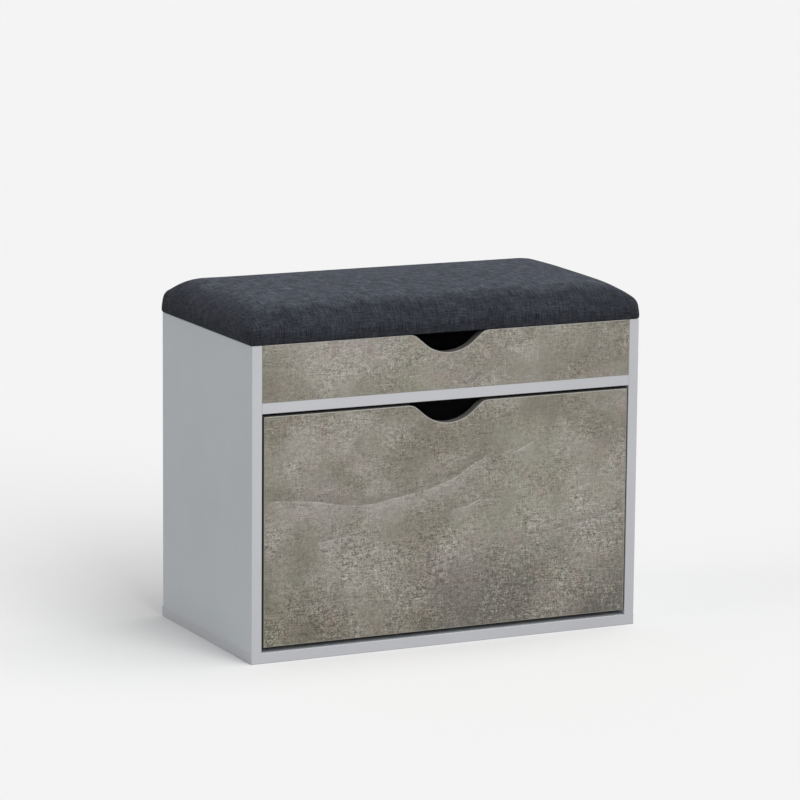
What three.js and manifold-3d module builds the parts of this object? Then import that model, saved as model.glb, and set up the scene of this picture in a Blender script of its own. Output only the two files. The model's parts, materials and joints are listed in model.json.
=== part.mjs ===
// Entryway bench: a padded lift-up seat over a shallow compartment, and a lower front that
// tilts out with a two-row shoe rack. Millimetres, +Z up, +X to the right seen from the front,
// +Y to the back. The origin is the centre of the bottom panel's underside.

import * as THREE from 'three';
import { mergeVertices } from 'three/addons/utils/BufferGeometryUtils.js';
import Module from 'manifold-3d';

const wasm = await Module();
wasm.setup();

const { degToRad } = THREE.MathUtils;

// ---------------------------------------------------------------- driving dimensions

// Fits
const clearance = 0.3; // between pieces that turn, slide or drop into one another
const cutOver = 1; // how far a cutting solid runs past the face that it opens

// Carcass
const benchWidth = 600;
const benchDepth = 320;
const carcassHeight = 445;
const boardThickness = 15;
const backThickness = 3;
const backInset = 2; // from a side panel's outer face to the back panel's edge
const edgeChamfer = 0.5;
const upperFrontHeight = 80;
const railHeight = 60;

// Finger notch in both fronts
const notchWidth = 124;
const notchDepth = 28;
const notchSlope = degToRad(40);
const notchLipRadius = 20;

// Lower front
const flapSideGap = 3;
const flapTopGap = 4.5;
const flapBottomGap = 7.5;
const flapSwingGap = 1.2; // left over the bottom panel when the lower edge swings past it
const flapOpenAngle = degToRad(42);

// Tilting rack behind the lower front
const rackDepth = 285;
const rackFloorGap = 15; // from the bottom panel's top up to the rack
const rackFrontHeight = 268;
const rackRearHeight = 140;
const rackCornerRadius = 14;
const rackNoseLength = 28; // of the round nose at the top of the rack's front
const rackNoseDrop = 7;
const sweepRearShare = 0.6; // the sweep's two pulling points, as shares of the rack's depth
const sweepFrontShare = 0.24;
const sweepLiftShare = 0.3; // the front point's height, as a share of the sweep's rise
const rackWall = 2.5;
const rackRimDepth = 12;
const rackFlangeWidth = 20;
const rackBoardThickness = 3;
const rackRibDepth = 8;
const rackRibThickness = 2;
const rackSideGap = 0.8; // between the rack and its pivot plate
const dividerSetback = 132; // from the lower front's back face to the middle of the divider
const dividerHeight = 140;
const rackRearBoardHeight = 120;
const ventWidth = 8;
const ventPitch = 19;
const ventFoot = 26; // from the rack's underside to the lower end of each vent
const frontVentHeight = 84;
const frontVentCount = 3;
const rearVentHeight = 76;
const rearVentCount = 6;

// Pivot plate, its axle and its stop pin
const pivotPlateThickness = 2;
const pivotPlateRadius = 11;
const axleRadius = 4;
const hubWall = 3.5;
const hubDepth = 10;
const stopPinRadius = 3;
const stopHeadRadius = 5.5;
const stopHeadThickness = 2;
const stopDistance = 60; // from the axle to the stop pin
const stopAngle = degToRad(75); // direction of the stop pin from the axle, up from the rear

// Seat
const seatGap = 2.2; // between the carcass's top and the seat's underside
const seatSideOverhang = 3.5;
const seatFrontOverhang = 1.5;
const seatHeight = 54;
const seatCornerRadius = 14; // of the seat's plan
const leastCornerRadius = 1;
const fullestCorner = 0.9; // of a ring's half depth that its corner radius may take up
const seatShoulderWidth = 48; // from the seat's outer face in to its nearly flat top
const seatShoulderHeight = 36; // of the slope between its upright edge and its top
const shoulderFullness = 1.7; // exponent of the shoulder's curve: 2 is an ellipse, 1 is flat
const seatCrown = 4;
const seatBoardThickness = 12;
const coverThickness = 1.2;
const hemWidth = 25;
const liningThickness = 1;
const bumperRadius = 4.5;
const bumperSetback = 20; // from the front face back to each bumper

// Seat hinges
const hingeInset = 110; // from a side panel's outer face to the middle of its hinge
const hingeLength = 50;
const hingeLeafThickness = 0.8;
const hingeLeafDepth = 14; // of a leaf on its board
const hingePinRadius = 1.4;
const knuckleRadius = 2.5;
const knuckleCount = 5;
const pinHeadRadius = 2.2;
const pinHeadThickness = 0.8;
const lidOpenAngle = degToRad(66);

// Quadrant stays
const stayRadius = 76; // from the hinge axis to the middle of the slot
const stayWidth = 8;
const stayThickness = 1.5;
const stayPinRadius = 2;
const stayPinAngle = degToRad(4); // of the guide pin below the seat, seen from the hinge axis
const stayHeadRadius = 4;
const stayHeadThickness = 1.6;
const stayFootLength = 30;
const stayFootWidth = 14;
const guidePlateThickness = 2;
const guidePlateWidth = 9;
const guidePlateHeight = 30;

// Cam fittings between the boards and the side panels
const camRadius = 7.5;
const camHeight = 12;
const camDistance = 24; // from the side panel's inner face to the cam's middle
const camSlotLength = 9;
const camSlotWidth = 1.8;
const camSlotDepth = 2;
const boltThreadRadius = 2.5;
const boltThreadLength = 10;
const boltShankRadius = 3.5;
const boltNeckRadius = 2;
const boltNeckLength = 2.5;
const boltHeadRadius = 3.2;
const boltHeadLength = 3;
const shelfCamInset = 50; // from the front and rear of the side panel to the shelf's cams

// Screws up through the bottom panel into the side panels
const screwLength = 50;
const screwHeadRadius = 5;
const screwHeadLength = 4.5;
const screwShankRadius = 3.5;
const screwThreadRadius = 2.5;
const screwTipLength = 3;
const screwRecess = 0.5; // from the bottom panel's underside up to the screw's head
const screwSocketRadius = 2.2;
const screwSocketDepth = 3;
const screwInset = 45; // from the front and rear of the side panel

// Facets
const arcSteps = 8; // of a long arc
const smallArcSteps = 4; // of a short one, such as a bar's round end
const slotArcSteps = 8; // of an arc that something slides along
const seatCornerSteps = 4;
const seatShoulderSteps = 6;
const crownShares = [0.25, 0.55, 0.85]; // of the way from the shoulder to the middle of the seat
const roundSegments = 20;
const smallSegments = 12;
const boltSegments = 8;
const samePoint = 1e-4; // points closer than this are one point

// ---------------------------------------------------------------- places worked out from them

const halfWidth = benchWidth / 2;
const frontY = -benchDepth / 2;
const rearY = benchDepth / 2;
const innerHalfWidth = halfWidth - boardThickness;
const sideRearY = rearY - backThickness;
const frontBackY = frontY + boardThickness;
const railFrontY = sideRearY - boardThickness;
const shelfTop = carcassHeight - upperFrontHeight;
const shelfBottom = shelfTop - boardThickness;

// The hub stands close behind the lower front, and high enough for the front's lower edge,
// which swings round it, to clear the bottom panel.
const hubRadius = axleRadius + clearance + hubWall;
const pivotSetback = boardThickness + hubRadius + clearance;
const edgeDrop = flapBottomGap - flapSwingGap;
const pivotRise = (pivotSetback ** 2 - edgeDrop ** 2) / (2 * edgeDrop);
const pivotHeight = boardThickness + flapBottomGap + pivotRise;
const pivot = new THREE.Vector3(0, frontY + pivotSetback, pivotHeight);

const seatUnderside = carcassHeight + seatGap;
const hingeAxis = new THREE.Vector3(0, rearY + clearance + knuckleRadius, carcassHeight + seatGap / 2);

// ---------------------------------------------------------------- materials

function finish(color, roughness, metalness) {
  return new THREE.MeshStandardMaterial({ color, roughness, metalness });
}

const whiteBoard = finish(0xc6c8cf, 0.45, 0);
const concreteBoard = finish(0x948f82, 0.6, 0);
const hardboard = finish(0xb9babd, 0.6, 0);
const rawBoard = finish(0xa98f6a, 0.8, 0);
const fabric = finish(0x34373f, 0.95, 0);
const foam = finish(0xd9d2bd, 0.95, 0);
const lining = finish(0x1c1c1e, 0.95, 0);
const steel = finish(0xb4b6b9, 0.35, 1);
const plastic = finish(0xb5b8bb, 0.5, 0);
const rubber = finish(0xd8d8d8, 0.7, 0);

// ---------------------------------------------------------------- solids and booleans

function solidOf(geometry) {
  const plain = geometry.clone();
  plain.deleteAttribute('normal');
  plain.deleteAttribute('uv');
  const welded = mergeVertices(plain, samePoint);
  return new wasm.Manifold(
    new wasm.Mesh({
      numProp: 3,
      vertProperties: new Float32Array(welded.attributes.position.array),
      triVerts: new Uint32Array(welded.index.array),
    }),
  );
}

function geometryOf(solid) {
  const mesh = solid.getMesh();
  const geometry = new THREE.BufferGeometry();
  geometry.setAttribute('position', new THREE.BufferAttribute(mesh.vertProperties, 3));
  geometry.setIndex(new THREE.BufferAttribute(mesh.triVerts, 1));
  return geometry;
}

function join(geometries) {
  return geometryOf(geometries.map(solidOf).reduce((whole, piece) => whole.add(piece)));
}

function cut(geometry, tools) {
  return geometryOf(tools.map(solidOf).reduce((left, tool) => left.subtract(tool), solidOf(geometry)));
}

// The mirror image on the other side of the bench's middle plane.
function mirrored(geometry) {
  const image = geometryOf(solidOf(geometry));
  image.scale(-1, 1, 1);
  const corners = image.index.array;
  for (let i = 0; i < corners.length; i += 3) {
    [corners[i], corners[i + 1]] = [corners[i + 1], corners[i]];
  }
  return image;
}

// ---------------------------------------------------------------- shapes

const alongX = new THREE.Vector3(1, 0, 0);
const alongY = new THREE.Vector3(0, 1, 0);
const alongZ = new THREE.Vector3(0, 0, 1);

// The points of an outline, without those that repeat where one arc meets the next.
function outlineOf(shape, steps) {
  const points = shape.extractPoints(steps).shape;
  return points.filter((point, i) => {
    const before = points[(i + points.length - 1) % points.length];
    return point.distanceTo(before) > samePoint;
  });
}

// Extrudes an outline drawn in x and y, in y and z ("side") or in x and z ("front"),
// between two values of the remaining coordinate. A chamfer breaks the edges of both faces.
function slab(plane, shape, from, to, chamfer = 0, steps = smallArcSteps) {
  const geometry = new THREE.ExtrudeGeometry(new THREE.Shape(outlineOf(shape, steps)), {
    depth: to - from - 2 * chamfer,
    bevelEnabled: chamfer > 0,
    bevelThickness: chamfer,
    bevelSize: chamfer,
    bevelOffset: -chamfer,
    bevelSegments: 1,
  });
  geometry.translate(0, 0, chamfer);
  if (plane === 'side') {
    geometry.applyMatrix4(new THREE.Matrix4().makeBasis(alongY, alongZ, alongX));
    return geometry.translate(from, 0, 0);
  }
  if (plane === 'front') {
    const toFront = alongY.clone().negate();
    geometry.applyMatrix4(new THREE.Matrix4().makeBasis(alongX, alongZ, toFront));
    return geometry.translate(0, to, 0);
  }
  return geometry.translate(0, 0, from);
}

function rectangle(left, bottom, right, top) {
  const shape = new THREE.Shape();
  shape.moveTo(left, bottom);
  shape.lineTo(right, bottom);
  shape.lineTo(right, top);
  shape.lineTo(left, top);
  shape.closePath();
  return shape;
}

// A rectangle round the origin with rounded corners.
function roundedRectangle(halfLength, halfBreadth, radius) {
  const shape = new THREE.Shape();
  shape.absarc(halfLength - radius, halfBreadth - radius, radius, 0, Math.PI / 2);
  shape.absarc(-halfLength + radius, halfBreadth - radius, radius, Math.PI / 2, Math.PI);
  shape.absarc(-halfLength + radius, -halfBreadth + radius, radius, Math.PI, 1.5 * Math.PI);
  shape.absarc(halfLength - radius, -halfBreadth + radius, radius, 1.5 * Math.PI, 2 * Math.PI);
  return shape;
}

// A bar with round ends, between two points of the drawing plane.
function stadium(fromX, fromY, toX, toY, radius) {
  const heading = Math.atan2(toY - fromY, toX - fromX);
  const shape = new THREE.Shape();
  shape.absarc(toX, toY, radius, heading - Math.PI / 2, heading + Math.PI / 2);
  shape.absarc(fromX, fromY, radius, heading + Math.PI / 2, heading + 1.5 * Math.PI);
  return shape;
}

// Points along an arc, both ends included.
function arcPoints(centreX, centreY, radius, fromAngle, toAngle, steps) {
  const arc = new THREE.Path().absarc(centreX, centreY, radius, fromAngle, toAngle, toAngle < fromAngle);
  return arc.getPoints(steps);
}

// A bent bar with round ends, along an arc round a centre from one angle up to another.
function arcBar(centreX, centreY, arcRadius, halfBreadth, fromAngle, toAngle) {
  const endX = centreX + arcRadius * Math.cos(toAngle);
  const endY = centreY + arcRadius * Math.sin(toAngle);
  const startX = centreX + arcRadius * Math.cos(fromAngle);
  const startY = centreY + arcRadius * Math.sin(fromAngle);
  const halfTurn = Math.PI;
  return new THREE.Shape([
    ...arcPoints(centreX, centreY, arcRadius + halfBreadth, fromAngle, toAngle, slotArcSteps),
    ...arcPoints(endX, endY, halfBreadth, toAngle, toAngle + halfTurn, smallArcSteps),
    ...arcPoints(centreX, centreY, arcRadius - halfBreadth, toAngle, fromAngle, slotArcSteps),
    ...arcPoints(startX, startY, halfBreadth, fromAngle - halfTurn, fromAngle, smallArcSteps),
  ]);
}

// A box between two corners.
function block(x, y, z) {
  const geometry = new THREE.BoxGeometry(x[1] - x[0], y[1] - y[0], z[1] - z[0]);
  return geometry.translate((x[0] + x[1]) / 2, (y[0] + y[1]) / 2, (z[0] + z[1]) / 2);
}

// A round bar along x.
function barAlongX(radius, fromX, toX, y, z, segments = roundSegments) {
  const geometry = new THREE.CylinderGeometry(radius, radius, toX - fromX, segments);
  geometry.rotateZ(-Math.PI / 2);
  return geometry.translate((fromX + toX) / 2, y, z);
}

// A round bar that stands upright.
function barAlongZ(radius, x, y, fromZ, toZ, segments = roundSegments) {
  const geometry = new THREE.CylinderGeometry(radius, radius, toZ - fromZ, segments);
  geometry.rotateX(Math.PI / 2);
  return geometry.translate(x, y, (fromZ + toZ) / 2);
}

// A turned piece along z, from pairs of radius and height.
function turned(profile, segments = smallSegments) {
  const points = profile.map(([radius, height]) => new THREE.Vector2(radius, height));
  const geometry = new THREE.LatheGeometry(points, segments);
  return geometry.rotateX(Math.PI / 2);
}

// Moves every point of a counter-clockwise outline inwards by the same distance.
function insetOutline(points, distance) {
  return points.map((point, i) => {
    const before = points[(i + points.length - 1) % points.length];
    const after = points[(i + 1) % points.length];
    const arriving = point.clone().sub(before).normalize();
    const leaving = after.clone().sub(point).normalize();
    const inward = new THREE.Vector2(-arriving.y - leaving.y, arriving.x + leaving.x);
    const reach = distance / (1 + arriving.dot(leaving));
    return point.clone().addScaledVector(inward, reach);
  });
}

// ---------------------------------------------------------------- assembly

const bench = new THREE.Group();
const carcass = new THREE.Group();
const flap = new THREE.Group(); // turns round the rack's axles
const lid = new THREE.Group(); // turns round the seat hinges' pins
flap.position.copy(pivot);
lid.position.copy(hingeAxis);
bench.add(carcass, flap, lid);

// Adds a piece drawn in the bench's own coordinates, with its origin at its middle.
function addPiece(group, name, geometry, material) {
  geometry.computeBoundingBox();
  const middle = geometry.boundingBox.getCenter(new THREE.Vector3());
  geometry.translate(-middle.x, -middle.y, -middle.z);
  const mesh = new THREE.Mesh(geometry, material.clone());
  mesh.name = name;
  mesh.position.copy(middle).sub(group.position);
  group.add(mesh);
}

// Adds a piece drawn for the right side, and its mirror image on the left.
function addPair(group, name, geometry, material) {
  const image = mirrored(geometry);
  addPiece(group, `right_${name}`, geometry, material);
  addPiece(group, `left_${name}`, image, material);
}

// ---------------------------------------------------------------- fittings that hold the boards

// A cam fitting is drawn with its bolt along +z, out of the side panel's inner face at z = 0,
// and with the cam's open face towards +x. `face` is the way that this face looks on the bench.
function camPlacement(face, y, z) {
  const inward = alongX.clone().negate();
  const across = new THREE.Vector3().crossVectors(inward, face);
  const placement = new THREE.Matrix4().makeBasis(face, across, inward);
  return placement.setPosition(innerHalfWidth, y, z);
}

function camCylinder(radius, height) {
  const bar = new THREE.CylinderGeometry(radius, radius, height, smallSegments);
  bar.rotateZ(Math.PI / 2);
  return bar.translate(0, 0, camDistance);
}

function camSolid() {
  const top = boardThickness / 2 - clearance;
  const body = camCylinder(camRadius, camHeight).translate(top - camHeight / 2, 0, 0);
  const boltRoom = barAlongZ(boltShankRadius + clearance, 0, 0, camDistance - camRadius - cutOver,
    camDistance, smallSegments);
  const slotFloor = top - camSlotDepth;
  const slotTop = top + cutOver;
  const slot = block([slotFloor, slotTop], [-camSlotLength / 2, camSlotLength / 2],
    [camDistance - camSlotWidth / 2, camDistance + camSlotWidth / 2]);
  return cut(body, [boltRoom, slot]);
}

function boltSolid() {
  const headEnd = camDistance - clearance;
  const headStart = headEnd - boltHeadLength;
  const neckStart = headStart - boltNeckLength;
  return turned([
    [0, -boltThreadLength],
    [boltThreadRadius, -boltThreadLength],
    [boltThreadRadius, clearance],
    [boltShankRadius, clearance],
    [boltShankRadius, neckStart],
    [boltNeckRadius, neckStart],
    [boltNeckRadius, headStart],
    [boltHeadRadius, headStart],
    [boltHeadRadius, headEnd],
    [0, headEnd],
  ], boltSegments);
}

function camHoles(placement) {
  const depth = camHeight + 2 * clearance;
  const pocketTop = boardThickness / 2 + cutOver;
  const pocketFloor = boardThickness / 2 - depth;
  const pocket = camCylinder(camRadius + clearance, pocketTop - pocketFloor);
  pocket.translate((pocketTop + pocketFloor) / 2, 0, 0);
  const shankHole = barAlongZ(boltShankRadius + clearance, 0, 0, -cutOver, camDistance, smallSegments);
  const threadHole = barAlongZ(boltThreadRadius + clearance, 0, 0, -boltThreadLength - clearance,
    cutOver, smallSegments);
  return {
    inBoard: [pocket, shankHole].map((tool) => tool.applyMatrix4(placement)),
    inSide: [threadHole.applyMatrix4(placement)],
  };
}

// One entry for each cam fitting of the right side: the board that it holds, and its place.
const down = alongZ.clone().negate();
const toFront = alongY.clone().negate();
const camFittings = [
  { board: 'shelf', name: 'shelf_front', face: down, y: frontY + shelfCamInset, z: shelfTop },
  { board: 'shelf', name: 'shelf_rear', face: down, y: sideRearY - shelfCamInset, z: shelfTop },
  { board: 'rail', name: 'rail', face: toFront, y: sideRearY, z: carcassHeight - railHeight / 2 },
  { board: 'front', name: 'upper_front', face: alongY, y: frontY, z: shelfTop + upperFrontHeight / 2 },
].map((fitting) => {
  // Each place is on the outer face of its board: half a board further in lies the bolt.
  const y = fitting.y + fitting.face.y * (boardThickness / 2);
  const z = fitting.z + fitting.face.z * (boardThickness / 2);
  const placement = camPlacement(fitting.face, y, z);
  return { ...fitting, placement, holes: camHoles(placement) };
});

function holesInBoard(board) {
  const tools = camFittings.filter((fitting) => fitting.board === board).flatMap((f) => f.holes.inBoard);
  return [...tools, ...tools.map(mirrored)];
}

for (const fitting of camFittings) {
  addPair(carcass, `${fitting.name}_cam`, camSolid().applyMatrix4(fitting.placement), steel);
  addPair(carcass, `${fitting.name}_bolt`, boltSolid().applyMatrix4(fitting.placement), steel);
}

// A countersunk screw that stands with its head at the bottom, grown by `room` all round.
function screwForm(room) {
  const coneTop = screwRecess + screwHeadLength;
  return turned([
    [0, screwRecess],
    [screwHeadRadius + room, screwRecess],
    [screwShankRadius + room, coneTop],
    [screwShankRadius + room, boardThickness],
    [screwThreadRadius + room, boardThickness],
    [screwThreadRadius + room, screwLength - screwTipLength],
    [0, screwLength + room],
  ]);
}

const screwPlaces = [
  { end: 'front', y: frontY + screwInset },
  { end: 'rear', y: sideRearY - screwInset },
];
const screwX = halfWidth - boardThickness / 2;
const screwHoles = screwPlaces.map(({ y }) => {
  const mouth = barAlongZ(screwHeadRadius + clearance, 0, 0, -cutOver, screwRecess + cutOver / 2,
    smallSegments);
  return join([screwForm(clearance), mouth]).translate(screwX, y, 0);
});

for (const { end, y } of screwPlaces) {
  const socket = barAlongZ(screwSocketRadius, 0, 0, 0, screwRecess + screwSocketDepth, 6);
  const screw = cut(screwForm(0), [socket]).translate(screwX, y, 0);
  addPair(carcass, `bottom_screw_${end}`, screw, steel);
}

// ---------------------------------------------------------------- carcass boards

// The top edge of a front, from right to left, dips in the middle: a rounded lip, a straight
// slope and a round floor, each tangent to the next.
function notchedFront(halfLength, bottom, top) {
  const half = notchWidth / 2;
  const radii = (half * Math.tan(notchSlope) - notchDepth) / (1 / Math.cos(notchSlope) - 1);
  const floorRadius = radii - notchLipRadius;
  const upright = Math.PI / 2;
  const shape = new THREE.Shape();
  shape.moveTo(-halfLength, bottom);
  shape.lineTo(halfLength, bottom);
  shape.lineTo(halfLength, top);
  shape.absarc(half, top - notchLipRadius, notchLipRadius, upright, upright + notchSlope);
  shape.absarc(0, top - notchDepth + floorRadius, floorRadius, notchSlope - upright,
    -notchSlope - upright, true);
  shape.absarc(-half, top - notchLipRadius, notchLipRadius, upright - notchSlope, upright);
  shape.lineTo(-halfLength, top);
  shape.closePath();
  return shape;
}

const bottomShape = rectangle(-halfWidth, frontY, halfWidth, rearY);
const bottomBoard = slab('top', bottomShape, 0, boardThickness, edgeChamfer);
const bottomHoles = [...screwHoles, ...screwHoles.map(mirrored)];
addPiece(carcass, 'bottom_panel', cut(bottomBoard, bottomHoles), whiteBoard);

const sideShape = rectangle(frontY, boardThickness, sideRearY, carcassHeight);
const sideBoard = slab('side', sideShape, innerHalfWidth, halfWidth, edgeChamfer);
const sideHoles = [...screwHoles, ...camFittings.flatMap((fitting) => fitting.holes.inSide)];
addPair(carcass, 'side_panel', cut(sideBoard, sideHoles), whiteBoard);

const shelfShape = rectangle(-innerHalfWidth, frontY, innerHalfWidth, sideRearY);
const shelfBoard = slab('top', shelfShape, shelfBottom, shelfTop, edgeChamfer);
addPiece(carcass, 'middle_shelf', cut(shelfBoard, holesInBoard('shelf')), whiteBoard);

const upperFrontShape = notchedFront(innerHalfWidth, shelfTop, carcassHeight);
const upperFront = slab('front', upperFrontShape, frontY, frontBackY, edgeChamfer, arcSteps);
addPiece(carcass, 'upper_front_panel', cut(upperFront, holesInBoard('front')), concreteBoard);

const railShape = rectangle(-innerHalfWidth, carcassHeight - railHeight, innerHalfWidth, carcassHeight);
const rail = slab('front', railShape, railFrontY, sideRearY, edgeChamfer);
addPiece(carcass, 'rear_rail', cut(rail, holesInBoard('rail')), whiteBoard);

const backHalfWidth = halfWidth - backInset;
const backShape = rectangle(-backHalfWidth, boardThickness, backHalfWidth, carcassHeight);
addPiece(carcass, 'back_panel', slab('front', backShape, sideRearY, rearY), hardboard);

const bumperX = halfWidth - boardThickness / 2;
const bumper = barAlongZ(bumperRadius, bumperX, frontY + bumperSetback, carcassHeight,
  seatUnderside - clearance, smallSegments);
addPair(carcass, 'seat_bumper', bumper, rubber);

// ---------------------------------------------------------------- tilting rack

const rackFrontY = frontBackY;
const rackRearY = rackFrontY + rackDepth;
const rackBottom = boardThickness + rackFloorGap;
const rackOuterX = innerHalfWidth - pivotPlateThickness - rackSideGap;
const rackWebX = rackOuterX - rackWall;
const rackInnerX = rackOuterX - rackRimDepth;
const rackFloor = rackBottom + rackWall + clearance;
const rackFloorTop = rackFloor + rackBoardThickness;
const rackRearBoardY = rackRearY - rackWall - clearance - rackBoardThickness / 2;
const dividerY = rackFrontY + dividerSetback;

const flapShape = notchedFront(innerHalfWidth - flapSideGap, boardThickness + flapBottomGap,
  shelfBottom - flapTopGap);
const lowerFront = slab('front', flapShape, frontY, frontBackY, edgeChamfer, arcSteps);
addPiece(flap, 'lower_front_panel', lowerFront, concreteBoard);

// The rack side's outline: upright along the front, and sweeping down to its rear end.
function rackOutline() {
  const frontTop = rackBottom + rackFrontHeight;
  const rearTop = rackBottom + rackRearHeight;
  const corner = rackCornerRadius;
  const shape = new THREE.Shape();
  shape.moveTo(rackFrontY, rackBottom);
  shape.lineTo(rackRearY - corner, rackBottom);
  shape.absarc(rackRearY - corner, rackBottom + corner, corner, -Math.PI / 2, 0);
  shape.absarc(rackRearY - corner, rearTop - corner, corner, 0, Math.PI / 2);
  const noseY = rackFrontY + rackNoseLength;
  shape.bezierCurveTo(
    rackFrontY + rackDepth * sweepRearShare, rearTop,
    rackFrontY + rackDepth * sweepFrontShare, rearTop + (frontTop - rearTop) * sweepLiftShare,
    noseY, frontTop - rackNoseDrop,
  );
  shape.quadraticCurveTo(noseY - rackNoseDrop, frontTop, noseY - 3 * rackNoseDrop, frontTop);
  shape.lineTo(rackFrontY, frontTop);
  shape.closePath();
  return outlineOf(shape, arcSteps);
}

// A rib that stands on the rack side's web, between two heights and two depths.
function rib(y, z) {
  return block([rackWebX - rackRibDepth, rackWebX + rackWall / 2], y, z);
}

// An upright channel of two ribs that holds the end of a rack board.
function channel(middleY, fromZ, toZ) {
  const offset = rackBoardThickness / 2 + clearance;
  return [
    rib([middleY - offset - rackRibThickness, middleY - offset], [fromZ, toZ]),
    rib([middleY + offset, middleY + offset + rackRibThickness], [fromZ, toZ]),
  ];
}

function vents(firstY, count, height) {
  const foot = rackBottom + ventFoot;
  return Array.from({ length: count }, (_, i) => {
    const y = firstY + i * ventPitch;
    const shape = stadium(y, foot, y, foot + height, ventWidth / 2);
    return slab('side', shape, rackWebX - cutOver, rackOuterX + cutOver);
  });
}

function rackSide() {
  const outline = rackOutline();
  const whole = slab('side', new THREE.Shape(outline), rackInnerX, rackOuterX);
  const hollowShape = new THREE.Shape(insetOutline(outline, rackWall));
  const hollow = slab('side', hollowShape, rackInnerX - cutOver, rackWebX);
  const flangeX = [rackOuterX - rackFlangeWidth, rackOuterX];
  const flangeZ = [rackBottom, rackBottom + rackFrontHeight];
  const flange = block(flangeX, [rackFrontY, rackFrontY + rackWall], flangeZ);
  const hub = barAlongX(hubRadius, rackOuterX - hubDepth, rackOuterX, pivot.y, pivot.z);
  const ribTop = rackFloorTop + clearance;
  const floorRib = rib(
    [rackFrontY + rackWall, dividerY - rackBoardThickness / 2 - clearance],
    [ribTop, ribTop + rackRibThickness],
  );
  const ribs = [
    floorRib,
    ...channel(dividerY, ribTop, rackBottom + dividerHeight - rackCornerRadius),
    ...channel(rackRearBoardY, ribTop, rackBottom + rackRearBoardHeight - rackCornerRadius).slice(0, 1),
  ];
  const solid = join([cut(whole, [hollow]), flange, hub, ...ribs]);
  const axleHole = barAlongX(axleRadius + clearance, rackInnerX - cutOver, rackOuterX + cutOver,
    pivot.y, pivot.z);
  const endRoom = clearance / stopDistance;
  const slotShape = arcBar(pivot.y, pivot.z, stopDistance, stopPinRadius + clearance,
    stopAngle - flapOpenAngle - endRoom, stopAngle + endRoom);
  const slot = slab('side', slotShape, rackWebX - cutOver, rackOuterX + cutOver);
  const dividerVentY = dividerY - ventPitch * frontVentCount;
  const rearVentY = dividerY + ventPitch;
  return cut(solid, [
    axleHole,
    slot,
    ...vents(dividerVentY, frontVentCount, frontVentHeight),
    ...vents(rearVentY, rearVentCount, rearVentHeight),
  ]);
}

addPair(flap, 'rack_side', rackSide(), plastic);

const rackBoardX = [-(rackWebX - clearance), rackWebX - clearance];
const rackRibTop = rackFloorTop + clearance;
const rackBaseY = [rackFrontY + rackWall + clearance, rackRearY - rackCornerRadius];
addPiece(flap, 'rack_base', block(rackBoardX, rackBaseY, [rackFloor, rackFloorTop]), hardboard);

const dividerYs = [dividerY - rackBoardThickness / 2, dividerY + rackBoardThickness / 2];
const divider = block(rackBoardX, dividerYs, [rackRibTop, rackBottom + dividerHeight]);
addPiece(flap, 'rack_divider', divider, hardboard);

const rearBoardYs = [rackRearBoardY - rackBoardThickness / 2, rackRearBoardY + rackBoardThickness / 2];
const rearBoardZ = [rackBottom + rackCornerRadius, rackBottom + rackRearBoardHeight];
const rearBoard = block(rackBoardX, rearBoardYs, rearBoardZ);
addPiece(flap, 'rack_rear_board', rearBoard, hardboard);

// The plate on the side panel carries the axle and the pin that ends the rack's travel.
function pivotPlate() {
  const pinY = pivot.y + stopDistance * Math.cos(stopAngle);
  const pinZ = pivot.z + stopDistance * Math.sin(stopAngle);
  const plateX = innerHalfWidth - pivotPlateThickness;
  const headX = rackWebX - clearance;
  return join([
    slab('side', stadium(pivot.y, pivot.z, pinY, pinZ, pivotPlateRadius), plateX, innerHalfWidth),
    barAlongX(axleRadius, rackOuterX - hubDepth, innerHalfWidth, pivot.y, pivot.z),
    barAlongX(stopPinRadius, headX - stopHeadThickness, innerHalfWidth, pinY, pinZ, smallSegments),
    barAlongX(stopHeadRadius, headX - stopHeadThickness, headX, pinY, pinZ, smallSegments),
  ]);
}

addPair(carcass, 'pivot_plate', pivotPlate(), plastic);

// ---------------------------------------------------------------- seat

const seatHalfWidth = halfWidth + seatSideOverhang;
const seatHalfDepth = (benchDepth + seatFrontOverhang) / 2;
const seatMiddleY = -seatFrontOverhang / 2;
const seatBoardBottom = seatUnderside + coverThickness + clearance;
const seatBoardTop = seatBoardBottom + seatBoardThickness;

// One ring of points round a cushion whose foot lies `inset` in from the seat's outer face.
function seatRing(inset, drawnIn, z) {
  const footRadius = Math.max(seatCornerRadius - inset, leastCornerRadius);
  const radius = Math.min(footRadius, fullestCorner * (seatHalfDepth - drawnIn));
  const outline = roundedRectangle(seatHalfWidth - drawnIn, seatHalfDepth - drawnIn, radius);
  return outlineOf(outline, seatCornerSteps).map((point) => [point.x, point.y + seatMiddleY, z]);
}

// An upright edge, a broad sloping shoulder and a shallow crown, `inset` in from the outer face.
function cushionForm(inset, bottom) {
  const width = seatShoulderWidth - inset;
  const height = seatShoulderHeight - inset;
  const shoulderBase = seatUnderside + seatHeight - seatCrown - seatShoulderHeight;
  const crownReach = seatHalfDepth - seatShoulderWidth;
  const power = 2 / shoulderFullness;
  const rings = [seatRing(inset, inset, bottom)];
  for (let i = 0; i <= seatShoulderSteps; i += 1) {
    const turn = (i / seatShoulderSteps) * (Math.PI / 2);
    const drawnIn = inset + width * (1 - Math.cos(turn) ** power);
    rings.push(seatRing(inset, drawnIn, shoulderBase + height * Math.sin(turn) ** power));
  }
  for (const share of crownShares) {
    const rise = seatCrown * (1 - (1 - share) ** 2);
    const drawnIn = seatShoulderWidth + crownReach * share;
    rings.push(seatRing(inset, drawnIn, shoulderBase + height + rise));
  }
  return loft(rings);
}

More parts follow.
